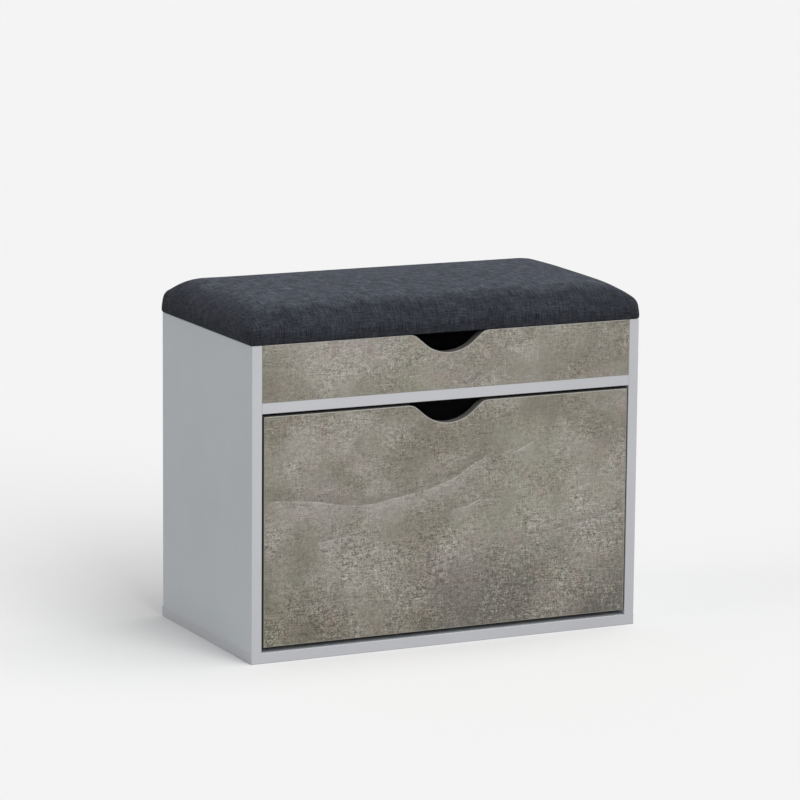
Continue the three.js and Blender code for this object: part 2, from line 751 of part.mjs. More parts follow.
// Skins a stack of rings with the same number of points, and closes both ends.
function loft(rings) {
  const count = rings[0].length;
  const index = [];
  for (let level = 0; level + 1 < rings.length; level += 1) {
    for (let i = 0; i < count; i += 1) {
      const a = level * count + i;
      const b = level * count + ((i + 1) % count);
      index.push(a, b, b + count, a, b + count, a + count);
    }
  }
  const bottomMiddle = rings.length * count;
  const topMiddle = bottomMiddle + 1;
  const topStart = (rings.length - 1) * count;
  for (let i = 0; i < count; i += 1) {
    const next = (i + 1) % count;
    index.push(bottomMiddle, next, i);
    index.push(topMiddle, topStart + i, topStart + next);
  }
  const middles = [rings[0], rings[rings.length - 1]].map((ring) => [0, seatMiddleY, ring[0][2]]);
  const geometry = new THREE.BufferGeometry();
  const position = new Float32Array([...rings.flat(), ...middles].flat());
  geometry.setAttribute('position', new THREE.BufferAttribute(position, 3));
  geometry.setIndex(index);
  return geometry;
}

// A flat sheet under the seat, drawn in from its outer face.
function seatSheet(inset, bottom, top) {
  const radius = Math.max(seatCornerRadius - inset, leastCornerRadius);
  const shape = roundedRectangle(seatHalfWidth - inset, seatHalfDepth - inset, radius);
  return slab('top', shape, bottom, top).translate(0, seatMiddleY, 0);
}

const cavity = cushionForm(coverThickness, seatUnderside + coverThickness);
const hemWindow = seatSheet(hemWidth, seatUnderside - cutOver, seatUnderside + coverThickness + cutOver);
addPiece(lid, 'seat_cover', cut(cushionForm(0, seatUnderside), [cavity, hemWindow]), fabric);

const underCover = coverThickness + clearance;
addPiece(lid, 'seat_foam', cushionForm(underCover, seatBoardTop + clearance), foam);
addPiece(lid, 'seat_board', seatSheet(underCover, seatBoardBottom, seatBoardTop), rawBoard);

const liningTop = seatBoardBottom - clearance;
addPiece(lid, 'seat_lining', seatSheet(hemWidth + clearance, liningTop - liningThickness, liningTop),
  lining);

// ---------------------------------------------------------------- seat hinges

// A round bar on the hinge axis.
function pinBar(radius, fromX, toX) {
  return barAlongX(radius, fromX, toX, hingeAxis.y, hingeAxis.z, smallSegments);
}

// The stretch of the pin that each knuckle takes up, counted from the left end.
function knuckleSpan(middleX, knuckle) {
  const pitch = hingeLength / knuckleCount;
  const start = middleX - hingeLength / 2 + knuckle * pitch;
  return [start + clearance / 2, start + pitch - clearance / 2];
}

// A leaf holds every other knuckle, and ends short of the knuckles between them.
function hingeLeaf(middleX, firstKnuckle, bottom) {
  const z = [bottom, bottom + hingeLeafThickness];
  const plateEnd = hingeAxis.y - knuckleRadius - clearance;
  const plateX = [middleX - hingeLength / 2, middleX + hingeLength / 2];
  const pieces = [block(plateX, [plateEnd - hingeLeafDepth, plateEnd], z)];
  for (let knuckle = firstKnuckle; knuckle < knuckleCount; knuckle += 2) {
    const span = knuckleSpan(middleX, knuckle);
    pieces.push(block(span, [plateEnd - clearance, hingeAxis.y], z));
    pieces.push(pinBar(knuckleRadius, span[0], span[1]));
  }
  const hole = pinBar(hingePinRadius + clearance, plateX[0] - cutOver, plateX[1] + cutOver);
  return cut(join(pieces), [hole]);
}

function hingePin(middleX) {
  const half = hingeLength / 2 + clearance;
  return join([
    pinBar(hingePinRadius, middleX - half, middleX + half),
    pinBar(pinHeadRadius, middleX - half - pinHeadThickness, middleX - half),
    pinBar(pinHeadRadius, middleX + half, middleX + half + pinHeadThickness),
  ]);
}

const hingeX = halfWidth - hingeInset;
const movingLeafBottom = seatUnderside - clearance - hingeLeafThickness;
addPair(carcass, 'hinge_fixed_leaf', hingeLeaf(hingeX, 0, carcassHeight), steel);
addPair(carcass, 'hinge_pin', hingePin(hingeX), steel);
addPair(lid, 'hinge_moving_leaf', hingeLeaf(hingeX, 1, movingLeafBottom), steel);

// ---------------------------------------------------------------- quadrant stays

const guideHeadX = innerHalfWidth - guidePlateThickness - 2 * clearance - stayThickness;
const stayX = [guideHeadX, guideHeadX + stayThickness];

// The arm hangs under the seat along an arc round the hinge axis, and the guide pin runs in its slot.
function stayArm() {
  const straightAhead = Math.PI;
  const slotStart = straightAhead + stayPinAngle;
  const slotEnd = slotStart + lidOpenAngle;
  const endRoom = clearance / stayRadius;
  const armShape = arcBar(hingeAxis.y, hingeAxis.z, stayRadius, stayWidth / 2, slotStart, slotEnd);
  const slotShape = arcBar(hingeAxis.y, hingeAxis.z, stayRadius, stayPinRadius + clearance,
    slotStart - endRoom, slotEnd + endRoom);
  const footTop = seatUnderside - clearance;
  const footBottom = footTop - stayThickness;
  const footMiddle = hingeAxis.y - stayRadius;
  const footY = [footMiddle - stayFootLength / 2, footMiddle + stayFootLength / 2];
  const foot = block([stayX[1] - stayFootWidth, stayX[1]], footY, [footBottom, footTop]);
  const pinZ = hingeAxis.z - stayRadius * Math.sin(stayPinAngle);
  const neckY = [footMiddle - stayWidth / 2, footMiddle + stayWidth / 2];
  const neck = block(stayX, neckY, [pinZ, footTop]);
  const arm = join([slab('side', armShape, stayX[0], stayX[1]), neck, foot]);
  return cut(arm, [slab('side', slotShape, stayX[0] - cutOver, stayX[1] + cutOver)]);
}

function stayGuide() {
  const pinY = hingeAxis.y - stayRadius * Math.cos(stayPinAngle);
  const pinZ = hingeAxis.z - stayRadius * Math.sin(stayPinAngle);
  const half = guidePlateWidth / 2;
  const plateShape = stadium(pinY, pinZ - guidePlateHeight + guidePlateWidth, pinY, pinZ - clearance, half);
  const headEnd = guideHeadX - clearance;
  const headStart = headEnd - stayHeadThickness;
  return join([
    slab('side', plateShape, innerHalfWidth - guidePlateThickness, innerHalfWidth),
    barAlongX(stayPinRadius, headStart, innerHalfWidth, pinY, pinZ, smallSegments),
    barAlongX(stayHeadRadius, headStart, headEnd, pinY, pinZ, smallSegments),
  ]);
}

addPair(lid, 'stay_arm', stayArm(), steel);
addPair(carcass, 'stay_guide', stayGuide(), steel);

export default bench;
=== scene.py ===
"""An entryway bench: a white carcass, concrete-look fronts, a tilting shoe rack and a padded seat.

Metres, in the frame of the part: +X to the right seen from the front, +Y to the back, +Z up.
"""

import json
import math

import bmesh
import bpy
import numpy as np
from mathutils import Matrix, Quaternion, Vector


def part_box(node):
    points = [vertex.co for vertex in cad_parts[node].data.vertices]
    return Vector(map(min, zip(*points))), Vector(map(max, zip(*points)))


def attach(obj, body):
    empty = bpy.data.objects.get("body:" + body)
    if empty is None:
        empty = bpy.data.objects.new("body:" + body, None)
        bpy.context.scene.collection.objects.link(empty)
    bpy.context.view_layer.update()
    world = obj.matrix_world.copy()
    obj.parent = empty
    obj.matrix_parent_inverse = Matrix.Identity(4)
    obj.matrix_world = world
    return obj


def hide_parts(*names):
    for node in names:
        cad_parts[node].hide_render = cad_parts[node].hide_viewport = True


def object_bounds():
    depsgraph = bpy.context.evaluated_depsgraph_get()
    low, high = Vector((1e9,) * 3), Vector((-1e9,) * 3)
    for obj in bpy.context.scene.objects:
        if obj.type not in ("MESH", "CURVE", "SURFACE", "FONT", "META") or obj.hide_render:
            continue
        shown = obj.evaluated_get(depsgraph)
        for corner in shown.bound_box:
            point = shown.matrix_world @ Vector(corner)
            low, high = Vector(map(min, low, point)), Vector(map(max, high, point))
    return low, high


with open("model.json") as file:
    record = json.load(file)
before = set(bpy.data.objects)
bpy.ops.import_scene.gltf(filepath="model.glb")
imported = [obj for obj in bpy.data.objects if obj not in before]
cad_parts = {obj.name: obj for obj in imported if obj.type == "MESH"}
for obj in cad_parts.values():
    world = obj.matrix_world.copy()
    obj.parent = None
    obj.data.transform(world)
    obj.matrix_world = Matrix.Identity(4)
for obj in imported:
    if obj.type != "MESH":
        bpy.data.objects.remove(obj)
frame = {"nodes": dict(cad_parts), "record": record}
cad_low, cad_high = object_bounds()
scene = bpy.context.scene
nodes = frame["nodes"]
MM = 0.001

# ---------------------------------------------------------------- camera

CAMERA_PLACE = (-2.5248, -5.2025, 1.3898)
CAMERA_AZIMUTH = math.radians(-25.9)
CAMERA_ELEVATION = math.radians(10.46)
CAMERA_ROLL = math.radians(0.495)
CAMERA_LENS = 185.2
CAMERA_SENSOR = 36.0


def make_camera():
    data = bpy.data.cameras.new("camera")
    data.lens = CAMERA_LENS
    data.sensor_width = CAMERA_SENSOR
    data.clip_end = 200.0
    camera = bpy.data.objects.new("camera", data)
    flat = math.cos(CAMERA_ELEVATION)
    back = Vector((
        math.sin(CAMERA_AZIMUTH) * flat,
        -math.cos(CAMERA_AZIMUTH) * flat,
        math.sin(CAMERA_ELEVATION),
    ))
    aim = (-back).to_track_quat("-Z", "Y") @ Quaternion((0.0, 0.0, 1.0), CAMERA_ROLL)
    camera.rotation_mode = "QUATERNION"
    camera.rotation_quaternion = aim
    camera.location = CAMERA_PLACE
    scene.collection.objects.link(camera)
    scene.camera = camera


make_camera()

# ---------------------------------------------------------------- materials


def put(tree, socket, value):
    if isinstance(value, bpy.types.NodeSocket):
        tree.links.new(value, socket)
    elif socket.type == "RGBA":
        socket.default_value = (*value, 1.0)
    else:
        socket.default_value = value


def add_node(tree, kind, values, **settings):
    """A shader node. Values are numbers, colours or the outputs of other nodes."""
    node = tree.nodes.new("ShaderNode" + kind)
    for name, value in settings.items():
        setattr(node, name, value)
    for socket, value in values.items():
        put(tree, node.inputs[socket], value)
    return node


class Finish:
    """One procedural material, with a short name for each kind of node."""

    def __init__(self, name):
        self.material = bpy.data.materials.new(name)
        self.material.use_nodes = True
        self.tree = self.material.node_tree
        self.tree.nodes.clear()
        self.surface = self.add("BsdfPrincipled", {})
        output = self.add("OutputMaterial", {"Surface": self.surface.outputs[0]})
        output.is_active_output = True
        self.coordinates = self.add("TexCoord", {})
        self.place = self.coordinates.outputs["Object"]

    def add(self, kind, values, **settings):
        return add_node(self.tree, kind, values, **settings)

    def set(self, **values):
        for name, value in values.items():
            put(self.tree, self.surface.inputs[name.replace("_", " ")], value)

    def math(self, operation, a, b=0.0, c=0.0):
        return self.add("Math", {0: a, 1: b, 2: c}, operation=operation).outputs[0]

    def times(self, a, b):
        return self.math("MULTIPLY", a, b)

    def plus(self, a, b):
        return self.math("ADD", a, b)

    def minus(self, a, b):
        return self.math("SUBTRACT", a, b)

    def absolute(self, a):
        return self.math("ABSOLUTE", a)

    def noise(self, scale, detail=2.0, roughness=0.5, place=None):
        values = {"Vector": place or self.place, "Scale": scale, "Detail": detail,
                  "Roughness": roughness}
        return self.add("TexNoise", values).outputs[0]

    def cells(self, scale, place=None, spread=1.0):
        values = {"Vector": place or self.place, "Scale": scale, "Randomness": spread}
        return self.add("TexVoronoi", values)

    def stretched(self, factors, offset=(0.0, 0.0, 0.0), place=None):
        values = {"Vector": place or self.place, "Scale": factors, "Location": offset}
        return self.add("Mapping", values).outputs[0]

    def between(self, value, low, high, to_low=0.0, to_high=1.0, smooth=True):
        values = {"Value": value, "From Min": low, "From Max": high, "To Min": to_low,
                  "To Max": to_high}
        kind = "SMOOTHSTEP" if smooth else "LINEAR"
        return self.add("MapRange", values, interpolation_type=kind).outputs[0]

    def mix(self, share, a, b, blend="MIX"):
        node = self.add("Mix", {0: share, 6: a, 7: b}, data_type="RGBA", blend_type=blend)
        return node.outputs[2]

    def scaled(self, colour, factor):
        values = {0: colour, "Scale": factor}
        return self.add("VectorMath", values, operation="SCALE").outputs[0]

    def split(self, vector):
        return self.add("SeparateXYZ", {0: vector}).outputs

    def bump(self, height, distance, strength=1.0, under=None):
        values = {"Height": height, "Distance": distance, "Strength": strength}
        if under is not None:
            values["Normal"] = under
        return self.add("Bump", values).outputs[0]


def melamine():
    """White melamine-faced board: cool faces, and a faintly lilac band on the edges that show."""
    f = Finish("melamine")
    facing = f.split(f.coordinates.outputs["Normal"])
    edge = f.between(facing[1], -0.55, -0.85)
    cloud = f.noise(7.0, 3.0, 0.55)
    grain = f.noise(260.0, 2.0, 0.6)
    face = f.mix(f.between(cloud, 0.3, 0.7), (0.470, 0.500, 0.521), (0.482, 0.513, 0.534))
    band = f.mix(f.between(cloud, 0.3, 0.7), (0.462, 0.465, 0.491), (0.474, 0.477, 0.503))
    x, _, z = f.split(f.place)
    sideways = f.math("GREATER_THAN", f.absolute(facing[0]), 0.8)
    in_base = f.math("LESS_THAN", z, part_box("bottom_panel")[1].z)
    face = f.mix(f.times(sideways, in_base), face, band)
    # Painted light: the faces are up to 13 % brighter towards the floor, standing in for light
    # bounced off it.
    face = f.scaled(face, f.between(z, 0.20, 0.0, 1.0, 1.13))
    # Painted shade: the edges' band is darker towards the right and towards the floor, from 1.04
    # down to 0.91.
    fade = f.plus(f.between(x, 0.0, 0.29, 0.0, 0.06), f.between(z, 0.32, 0.0, 0.0, 0.07))
    band = f.scaled(band, f.minus(1.04, fade))
    colour = f.mix(edge, face, band)
    colour = f.mix(f.between(grain, 0.35, 0.65, 0.0, 0.05), colour, (0.43, 0.45, 0.465))
    peel = f.noise(1500.0, 2.0, 0.55)
    smudge = f.noise(18.0, 4.0, 0.6)
    f.set(Base_Color=colour, Roughness=f.between(smudge, 0.3, 0.7, 0.4, 0.52),
          Normal=f.bump(peel, 0.00006, 0.5))
    return f.material


CONCRETE = {
    "dark patch": (0.178, 0.165, 0.128),
    "pale patch": (0.296, 0.281, 0.240),
    "pale cloud": (0.313, 0.296, 0.264),
    "dark cloud": (0.166, 0.153, 0.119),
    "blush": (0.268, 0.241, 0.222),
    "olive": (0.236, 0.232, 0.178),
    "rust": (0.262, 0.213, 0.183),
    "below a mark": (0.325, 0.310, 0.285),
    "above a mark": (0.150, 0.139, 0.112),
    "crest": (0.40, 0.385, 0.35),
    "scratch": (0.46, 0.44, 0.40),
    "stain": (0.11, 0.10, 0.085),
    "low tint": (1.0, 0.985, 0.95),
    "fleck": (0.46, 0.445, 0.41),
    "pit": (0.10, 0.095, 0.08),
    "cut edge": (0.125, 0.120, 0.112),
}
TINTS = [  # over the patches: colour, scale, roughness, offset, where it starts and ends, most
    ("blush", 9.0, 0.5, (3.1, 0.0, 1.7), 0.50, 0.68, 0.5),
    ("olive", 6.0, 0.5, (7.3, 0.0, 4.9), 0.50, 0.70, 0.55),
    ("rust", 30.0, 0.55, (2.2, 0.0, 6.4), 0.56, 0.72, 0.6),
]
TROWEL_MARKS = [  # on the lower front: points (x, z) of the line, width of its shading, strength
    ([(-0.30, 0.228), (-0.217, 0.222), (-0.14, 0.210), (-0.075, 0.218), (0.003, 0.235),
      (0.043, 0.256), (0.085, 0.274)], 0.040, 0.6),
    ([(-0.205, 0.163), (-0.17, 0.167), (-0.13, 0.168)], 0.012, 0.5),
    ([(0.0, 0.190), (0.031, 0.196), (0.048, 0.203), (0.09, 0.197)], 0.012, 0.45),
    ([(0.09, 0.263), (0.11, 0.270), (0.135, 0.281)], 0.008, 0.6),
    ([(0.16, 0.150), (0.22, 0.158), (0.29, 0.176)], 0.022, 0.5),
    ([(-0.29, 0.062), (-0.16, 0.080), (-0.03, 0.070), (0.06, 0.092)], 0.030, 0.22),
]
MARK_SPAN = 0.5  # the height that a mark's curve covers
CREST_FADED, CREST_FULL = 1.6 * MM, 0.4 * MM  # off the line
SCRATCHES = [  # on both fronts: start (x, z), end, strength
    ((0.095, 0.149), (0.070, 0.025), 0.50), ((0.212, 0.089), (0.278, 0.084), 0.50),
    ((0.087, 0.376), (0.087, 0.401), 0.45), ((-0.075, 0.387), (-0.04, 0.387), 0.4),
    ((-0.115, 0.378), (-0.085, 0.378), 0.3), ((-0.11, 0.08), (-0.09, 0.08), 0.4),
    ((-0.046, 0.077), (-0.048, 0.049), 0.35), ((-0.25, 0.11), (-0.22, 0.085), 0.3),
]
SCRATCH_WIDTH = 0.9 * MM
STAIN_START, STAIN_END, STAIN_WIDTH = (0.216, 0.290), (0.247, 0.277), 2.2 * MM


def trowel_mark(f, along, height, points, width, wander):
    """A ridge left by a trowel: pale below the line, dark above it, and a thin pale crest."""
    low, high = points[0][0], points[-1][0]
    share = f.between(along, low, high, smooth=False)
    curve = f.add("FloatCurve", {"Value": share})
    stops = curve.mapping.curves[0].points
    spots = [((x - low) / (high - low), z / MARK_SPAN) for x, z in points]
    stops[0].location, stops[1].location = spots[0], spots[-1]
    for spot in spots[1:-1]:
        stops.new(*spot)
    curve.mapping.update()
    line = f.times(curve.outputs[0], MARK_SPAN)
    off = f.plus(f.minus(height, line), wander)
    below = f.between(off, -width, 0.0)
    above = f.between(off, 0.6 * width, 0.0)
    fade = f.times(f.between(share, 0.0, 0.12), f.between(share, 1.0, 0.88))
    is_below = f.math("LESS_THAN", off, 0.0)
    pale = f.times(f.times(below, is_below), fade)
    dark = f.times(above, f.minus(1.0, is_below))
    crest = f.times(f.between(f.absolute(off), CREST_FADED, CREST_FULL), fade)
    return pale, f.times(dark, fade), crest


def scratch(f, along, height, start, end, width):
    """A straight scratch between two points of the front, faded at its ends."""
    run = math.hypot(end[0] - start[0], end[1] - start[1])
    ux, uz = (end[0] - start[0]) / run, (end[1] - start[1]) / run
    from_x = f.minus(along, start[0])
    from_z = f.minus(height, start[1])
    share = f.math("MULTIPLY_ADD", from_x, ux / run, f.times(from_z, uz / run))
    aside = f.math("MULTIPLY_ADD", from_x, -uz, f.times(from_z, ux))
    near = f.between(f.absolute(aside), width, 0.3 * width)
    ends = f.times(f.between(share, 0.0, 0.15), f.between(share, 1.0, 0.85))
    return f.times(near, ends)


def concrete():
    """Board with a printed concrete look: cloudy patches, trowel ridges, grit and scratches."""
    f = Finish("concrete_print")
    x, _, z = f.split(f.place)
    warp = f.add("TexNoise", {"Vector": f.place, "Scale": 9.0, "Detail": 3.0}).outputs["Color"]
    drift = f.add("VectorMath", {0: warp, 1: (0.5, 0.5, 0.5)}, operation="SUBTRACT").outputs[0]
    drift = f.scaled(drift, 0.09)
    moved = f.add("VectorMath", {0: f.place, 1: drift}, operation="ADD").outputs[0]
    patch = f.noise(4.2, 4.0, 0.55, place=moved)
    cloud = f.noise(12.0, 7.0, 0.62, place=moved)
    colour = f.mix(f.between(patch, 0.36, 0.64), CONCRETE["dark patch"], CONCRETE["pale patch"])
    uneven = f.between(z, 0.30, 0.06, 0.6, 0.95)
    pale = f.times(f.between(cloud, 0.46, 0.66), uneven)
    colour = f.mix(pale, colour, CONCRETE["pale cloud"])
    dark = f.times(f.between(cloud, 0.48, 0.30), uneven)
    colour = f.mix(dark, colour, CONCRETE["dark cloud"])
    for tint, scale, roughness, offset, start, end, most in TINTS:
        spread = f.noise(scale, 3.0, roughness, place=f.stretched((1.0, 1.0, 1.0), offset))
        colour = f.mix(f.between(spread, start, end, 0.0, most), colour, CONCRETE[tint])
    wander = f.times(f.minus(f.noise(22.0, 4.0, 0.6), 0.5), 0.009)
    for points, width, strength in TROWEL_MARKS:
        broken = f.between(f.noise(24.0, 2.0), 0.35, 0.6, 0.4, 1.0)
        share = f.times(broken, strength)
        pale, dark, crest = trowel_mark(f, x, z, points, width, wander)
        colour = f.mix(f.times(pale, share), colour, CONCRETE["below a mark"])
        colour = f.mix(f.times(dark, share), colour, CONCRETE["above a mark"])
        colour = f.mix(f.times(crest, share), colour, CONCRETE["crest"])
    for start, end, strength in SCRATCHES:
        line = f.times(scratch(f, x, z, start, end, SCRATCH_WIDTH), strength)
        colour = f.mix(line, colour, CONCRETE["scratch"])
    stain = scratch(f, x, z, STAIN_START, STAIN_END, STAIN_WIDTH)
    colour = f.mix(f.times(stain, 0.4), colour, CONCRETE["stain"])
    low = f.between(z, 0.22, 0.02)
    colour = f.mix(low, colour, CONCRETE["low tint"], blend="MULTIPLY")
    zone = f.noise(5.5, 3.0, 0.5, place=f.stretched((1.0, 1.0, 1.0), (1.3, 0.0, 9.2)))
    # Print and painted shade: the lower front is darker towards its lower right, by up to 32 % at
    # the left and 74 % at the right.
    print_and_painted_shade = f.times(low, f.between(zone, 0.4, 0.6, 0.45, 1.0))
    grit = f.noise(430.0, 3.0, 0.75)
    sand = f.noise(150.0, 3.0, 0.6)
    across = f.noise(1.0, 3.0, 0.6, place=f.stretched((60.0, 1.0, 640.0)))
    upwards = f.noise(1.0, 3.0, 0.6, place=f.stretched((640.0, 1.0, 60.0)))
    cluster = f.noise(14.0, 4.0, 0.6, place=f.stretched((1.0, 1.0, 1.3), (5.2, 0.0, 2.6)))
    rough_zone = f.times(f.between(cluster, 0.36, 0.64, 0.55, 1.5),
                         f.between(z, 0.26, 0.04, 1.0, 1.3))
    texture = f.math("MULTIPLY_ADD", grit, 2.2, f.times(sand, 1.1))
    texture = f.math("MULTIPLY_ADD", across, 1.2, texture)
    texture = f.math("MULTIPLY_ADD", upwards, 0.6, texture)
    texture = f.times(f.minus(texture, 2.55), f.times(rough_zone, 0.9))
    shade = f.math("MULTIPLY_ADD", print_and_painted_shade, f.between(x, -0.3, 0.3, -0.32, -0.74),
                   f.plus(texture, 1.0))
    colour = f.scaled(colour, f.math("MAXIMUM", shade, 0.3))
    flecks = f.cells(190.0)
    size = f.math("POWER", f.split(flecks.outputs["Color"])[0], 2.0)
    flecks = f.minus(flecks.outputs["Distance"], f.times(size, 0.16))
    fleck = f.times(f.between(flecks, 0.12, 0.02), f.between(cluster, 0.46, 0.60))
    colour = f.mix(f.times(fleck, 0.7), colour, CONCRETE["fleck"])
    pits = f.cells(170.0, place=f.stretched((1.0, 1.0, 1.0), (0.4, 0.0, 0.7))).outputs["Distance"]
    pit = f.times(f.between(pits, 0.26, 0.12), f.between(z, 0.26, 0.05, 0.1, 0.5))
    colour = f.mix(pit, colour, CONCRETE["pit"])
    # The board's cut edges are darker than its face: partly the edge's own colour, partly painted
    # shade in the gaps round the fronts.
    facing = f.split(f.coordinates.outputs["Normal"])[1]
    colour = f.mix(f.between(facing, -0.85, -0.6), colour, CONCRETE["cut edge"])
    height = f.plus(grit, f.times(sand, 0.8))
    f.set(Base_Color=colour, Roughness=f.between(cloud, 0.3, 0.7, 0.56, 0.68),
          Normal=f.bump(height, 0.00012, 0.5))
    return f.material


def edge_band():
    """The lip of the band glued round a concrete-look board, palest along the top."""
    f = Finish("edge_band")
    grain = f.noise(300.0, 3.0, 0.6)
    colour = f.mix(f.between(grain, 0.3, 0.7), (0.35, 0.338, 0.305), (0.43, 0.415, 0.38))
    x, _, z = f.split(f.place)
    # Painted shade: the lip is darker at the fronts' two ends and along their lower edges, so it
    # is palest along the top.
    painted_shade_on_lip = f.between(f.absolute(x), 0.2803, 0.2812)  # at the fronts' two ends
    for low in (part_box("lower_front_panel")[0].z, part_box("upper_front_panel")[0].z):
        level = f.absolute(f.minus(z, low))
        painted_shade_on_lip = f.math("MAXIMUM", painted_shade_on_lip, f.between(level, 2.0 * MM, 1.2 * MM))
    colour = f.mix(painted_shade_on_lip, colour, (0.235, 0.222, 0.186))
    f.set(Base_Color=colour, Roughness=0.45, Normal=f.bump(grain, 0.00004, 0.5))
    return f.material


def hardboard():
    """Thin fibreboard lacquered pale grey, with its fibres showing through."""
    f = Finish("lacquered_fibreboard")
    fibre = f.noise(1.0, 4.0, 0.7, place=f.stretched((420.0, 420.0, 60.0)))
    felt = f.noise(900.0, 3.0, 0.7)
    cloud = f.noise(9.0, 4.0, 0.6)
    colour = f.mix(f.between(cloud, 0.3, 0.7), (0.50, 0.51, 0.52), (0.515, 0.525, 0.535))
    colour = f.mix(f.between(fibre, 0.55, 0.8, 0.0, 0.3), colour, (0.42, 0.41, 0.39))
    rough = f.plus(f.times(fibre, 0.6), felt)
    f.set(Base_Color=colour, Roughness=0.62, Normal=f.bump(rough, 0.0001, 0.6))
    return f.material


def chipboard():
    """The raw board under the seat: pressed chips and glue."""
    f = Finish("chipboard")
    chips = f.cells(240.0, f.stretched((1.0, 0.45, 1.0)))
    tone = f.split(chips.outputs["Color"])[0]
    fine = f.noise(700.0, 3.0, 0.7)
    colour = f.mix(tone, (0.27, 0.18, 0.09), (0.52, 0.39, 0.23))
    colour = f.mix(f.between(fine, 0.3, 0.7, 0.0, 0.4), colour, (0.36, 0.26, 0.14))
    f.set(Base_Color=colour, Roughness=0.82, Normal=f.bump(fine, 0.0002, 0.7))
    return f.material


def lining_cloth():
    """Black non-woven felt with its grid of pressed dots."""
    f = Finish("nonwoven_lining")
    dots = f.cells(900.0, spread=0.15).outputs["Distance"]
    fluff = f.noise(1200.0, 4.0, 0.7)
    cloud = f.noise(22.0, 3.0, 0.6)
    colour = f.mix(f.between(fluff, 0.35, 0.65), (0.009, 0.009, 0.010), (0.020, 0.020, 0.022))
    colour = f.mix(f.between(cloud, 0.4, 0.7, 0.0, 0.3), colour, (0.028, 0.028, 0.030))
    height = f.plus(f.between(dots, 0.15, 0.35), f.times(fluff, 0.4))
    f.set(Base_Color=colour, Roughness=0.95, Normal=f.bump(height, 0.00012, 0.8))
    return f.material


def plated_steel():
    """Zinc-plated steel, faintly brushed and spangled."""
    f = Finish("plated_steel")
    brushed = f.noise(1.0, 3.0, 0.6, place=f.stretched((60.0, 900.0, 900.0)))
    cloud = f.noise(120.0, 3.0, 0.6)
    colour = f.mix(f.between(cloud, 0.3, 0.7), (0.50, 0.51, 0.53), (0.62, 0.62, 0.63))
    f.set(Base_Color=colour, Metallic=1.0, Roughness=f.between(brushed, 0.3, 0.7, 0.26, 0.42),
          Normal=f.bump(brushed, 0.00002, 0.6))
    return f.material


def moulded_plastic():
    """Grey plastic with the fine even skin of a spark-eroded mould."""
    f = Finish("moulded_plastic")
    skin = f.noise(2200.0, 2.0, 0.6)
    cloud = f.noise(14.0, 3.0, 0.5)
    colour = f.mix(f.between(cloud, 0.3, 0.7), (0.44, 0.455, 0.47), (0.48, 0.495, 0.51))
    f.set(Base_Color=colour, Roughness=f.between(cloud, 0.3, 0.7, 0.42, 0.52),
          Normal=f.bump(skin, 0.00005, 0.6))
    return f.material


def bumper_rubber():
    """Soft pale rubber."""
    f = Finish("bumper_rubber")
    cloud = f.noise(600.0, 2.0, 0.5)
    colour = f.mix(cloud, (0.62, 0.62, 0.61), (0.70, 0.70, 0.69))
    f.set(Base_Color=colour, Roughness=0.6, Normal=f.bump(cloud, 0.00005, 0.5))
    return f.material


def foam_body():
    """Open-celled foam."""
    f = Finish("seat_foam")
    pores = f.cells(900.0).outputs["Distance"]
    colour = f.mix(f.between(pores, 0.2, 0.6), (0.52, 0.46, 0.33), (0.70, 0.65, 0.51))
    f.set(Base_Color=colour, Roughness=0.95, Normal=f.bump(pores, 0.0003, 0.7))
    return f.material


COVER_LOW, COVER_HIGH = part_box("seat_cover")
CENTRE = (COVER_LOW + COVER_HIGH) / 2
HALF_X = (COVER_HIGH.x - COVER_LOW.x) / 2
HALF_Y = (COVER_HIGH.y - COVER_LOW.y) / 2
FOLD_OFF = 1.6 * MM  # from a corner's edge to the fold in the cloth beside it
YARN_PAIR = 1.15 * MM  # two yarns of the weave


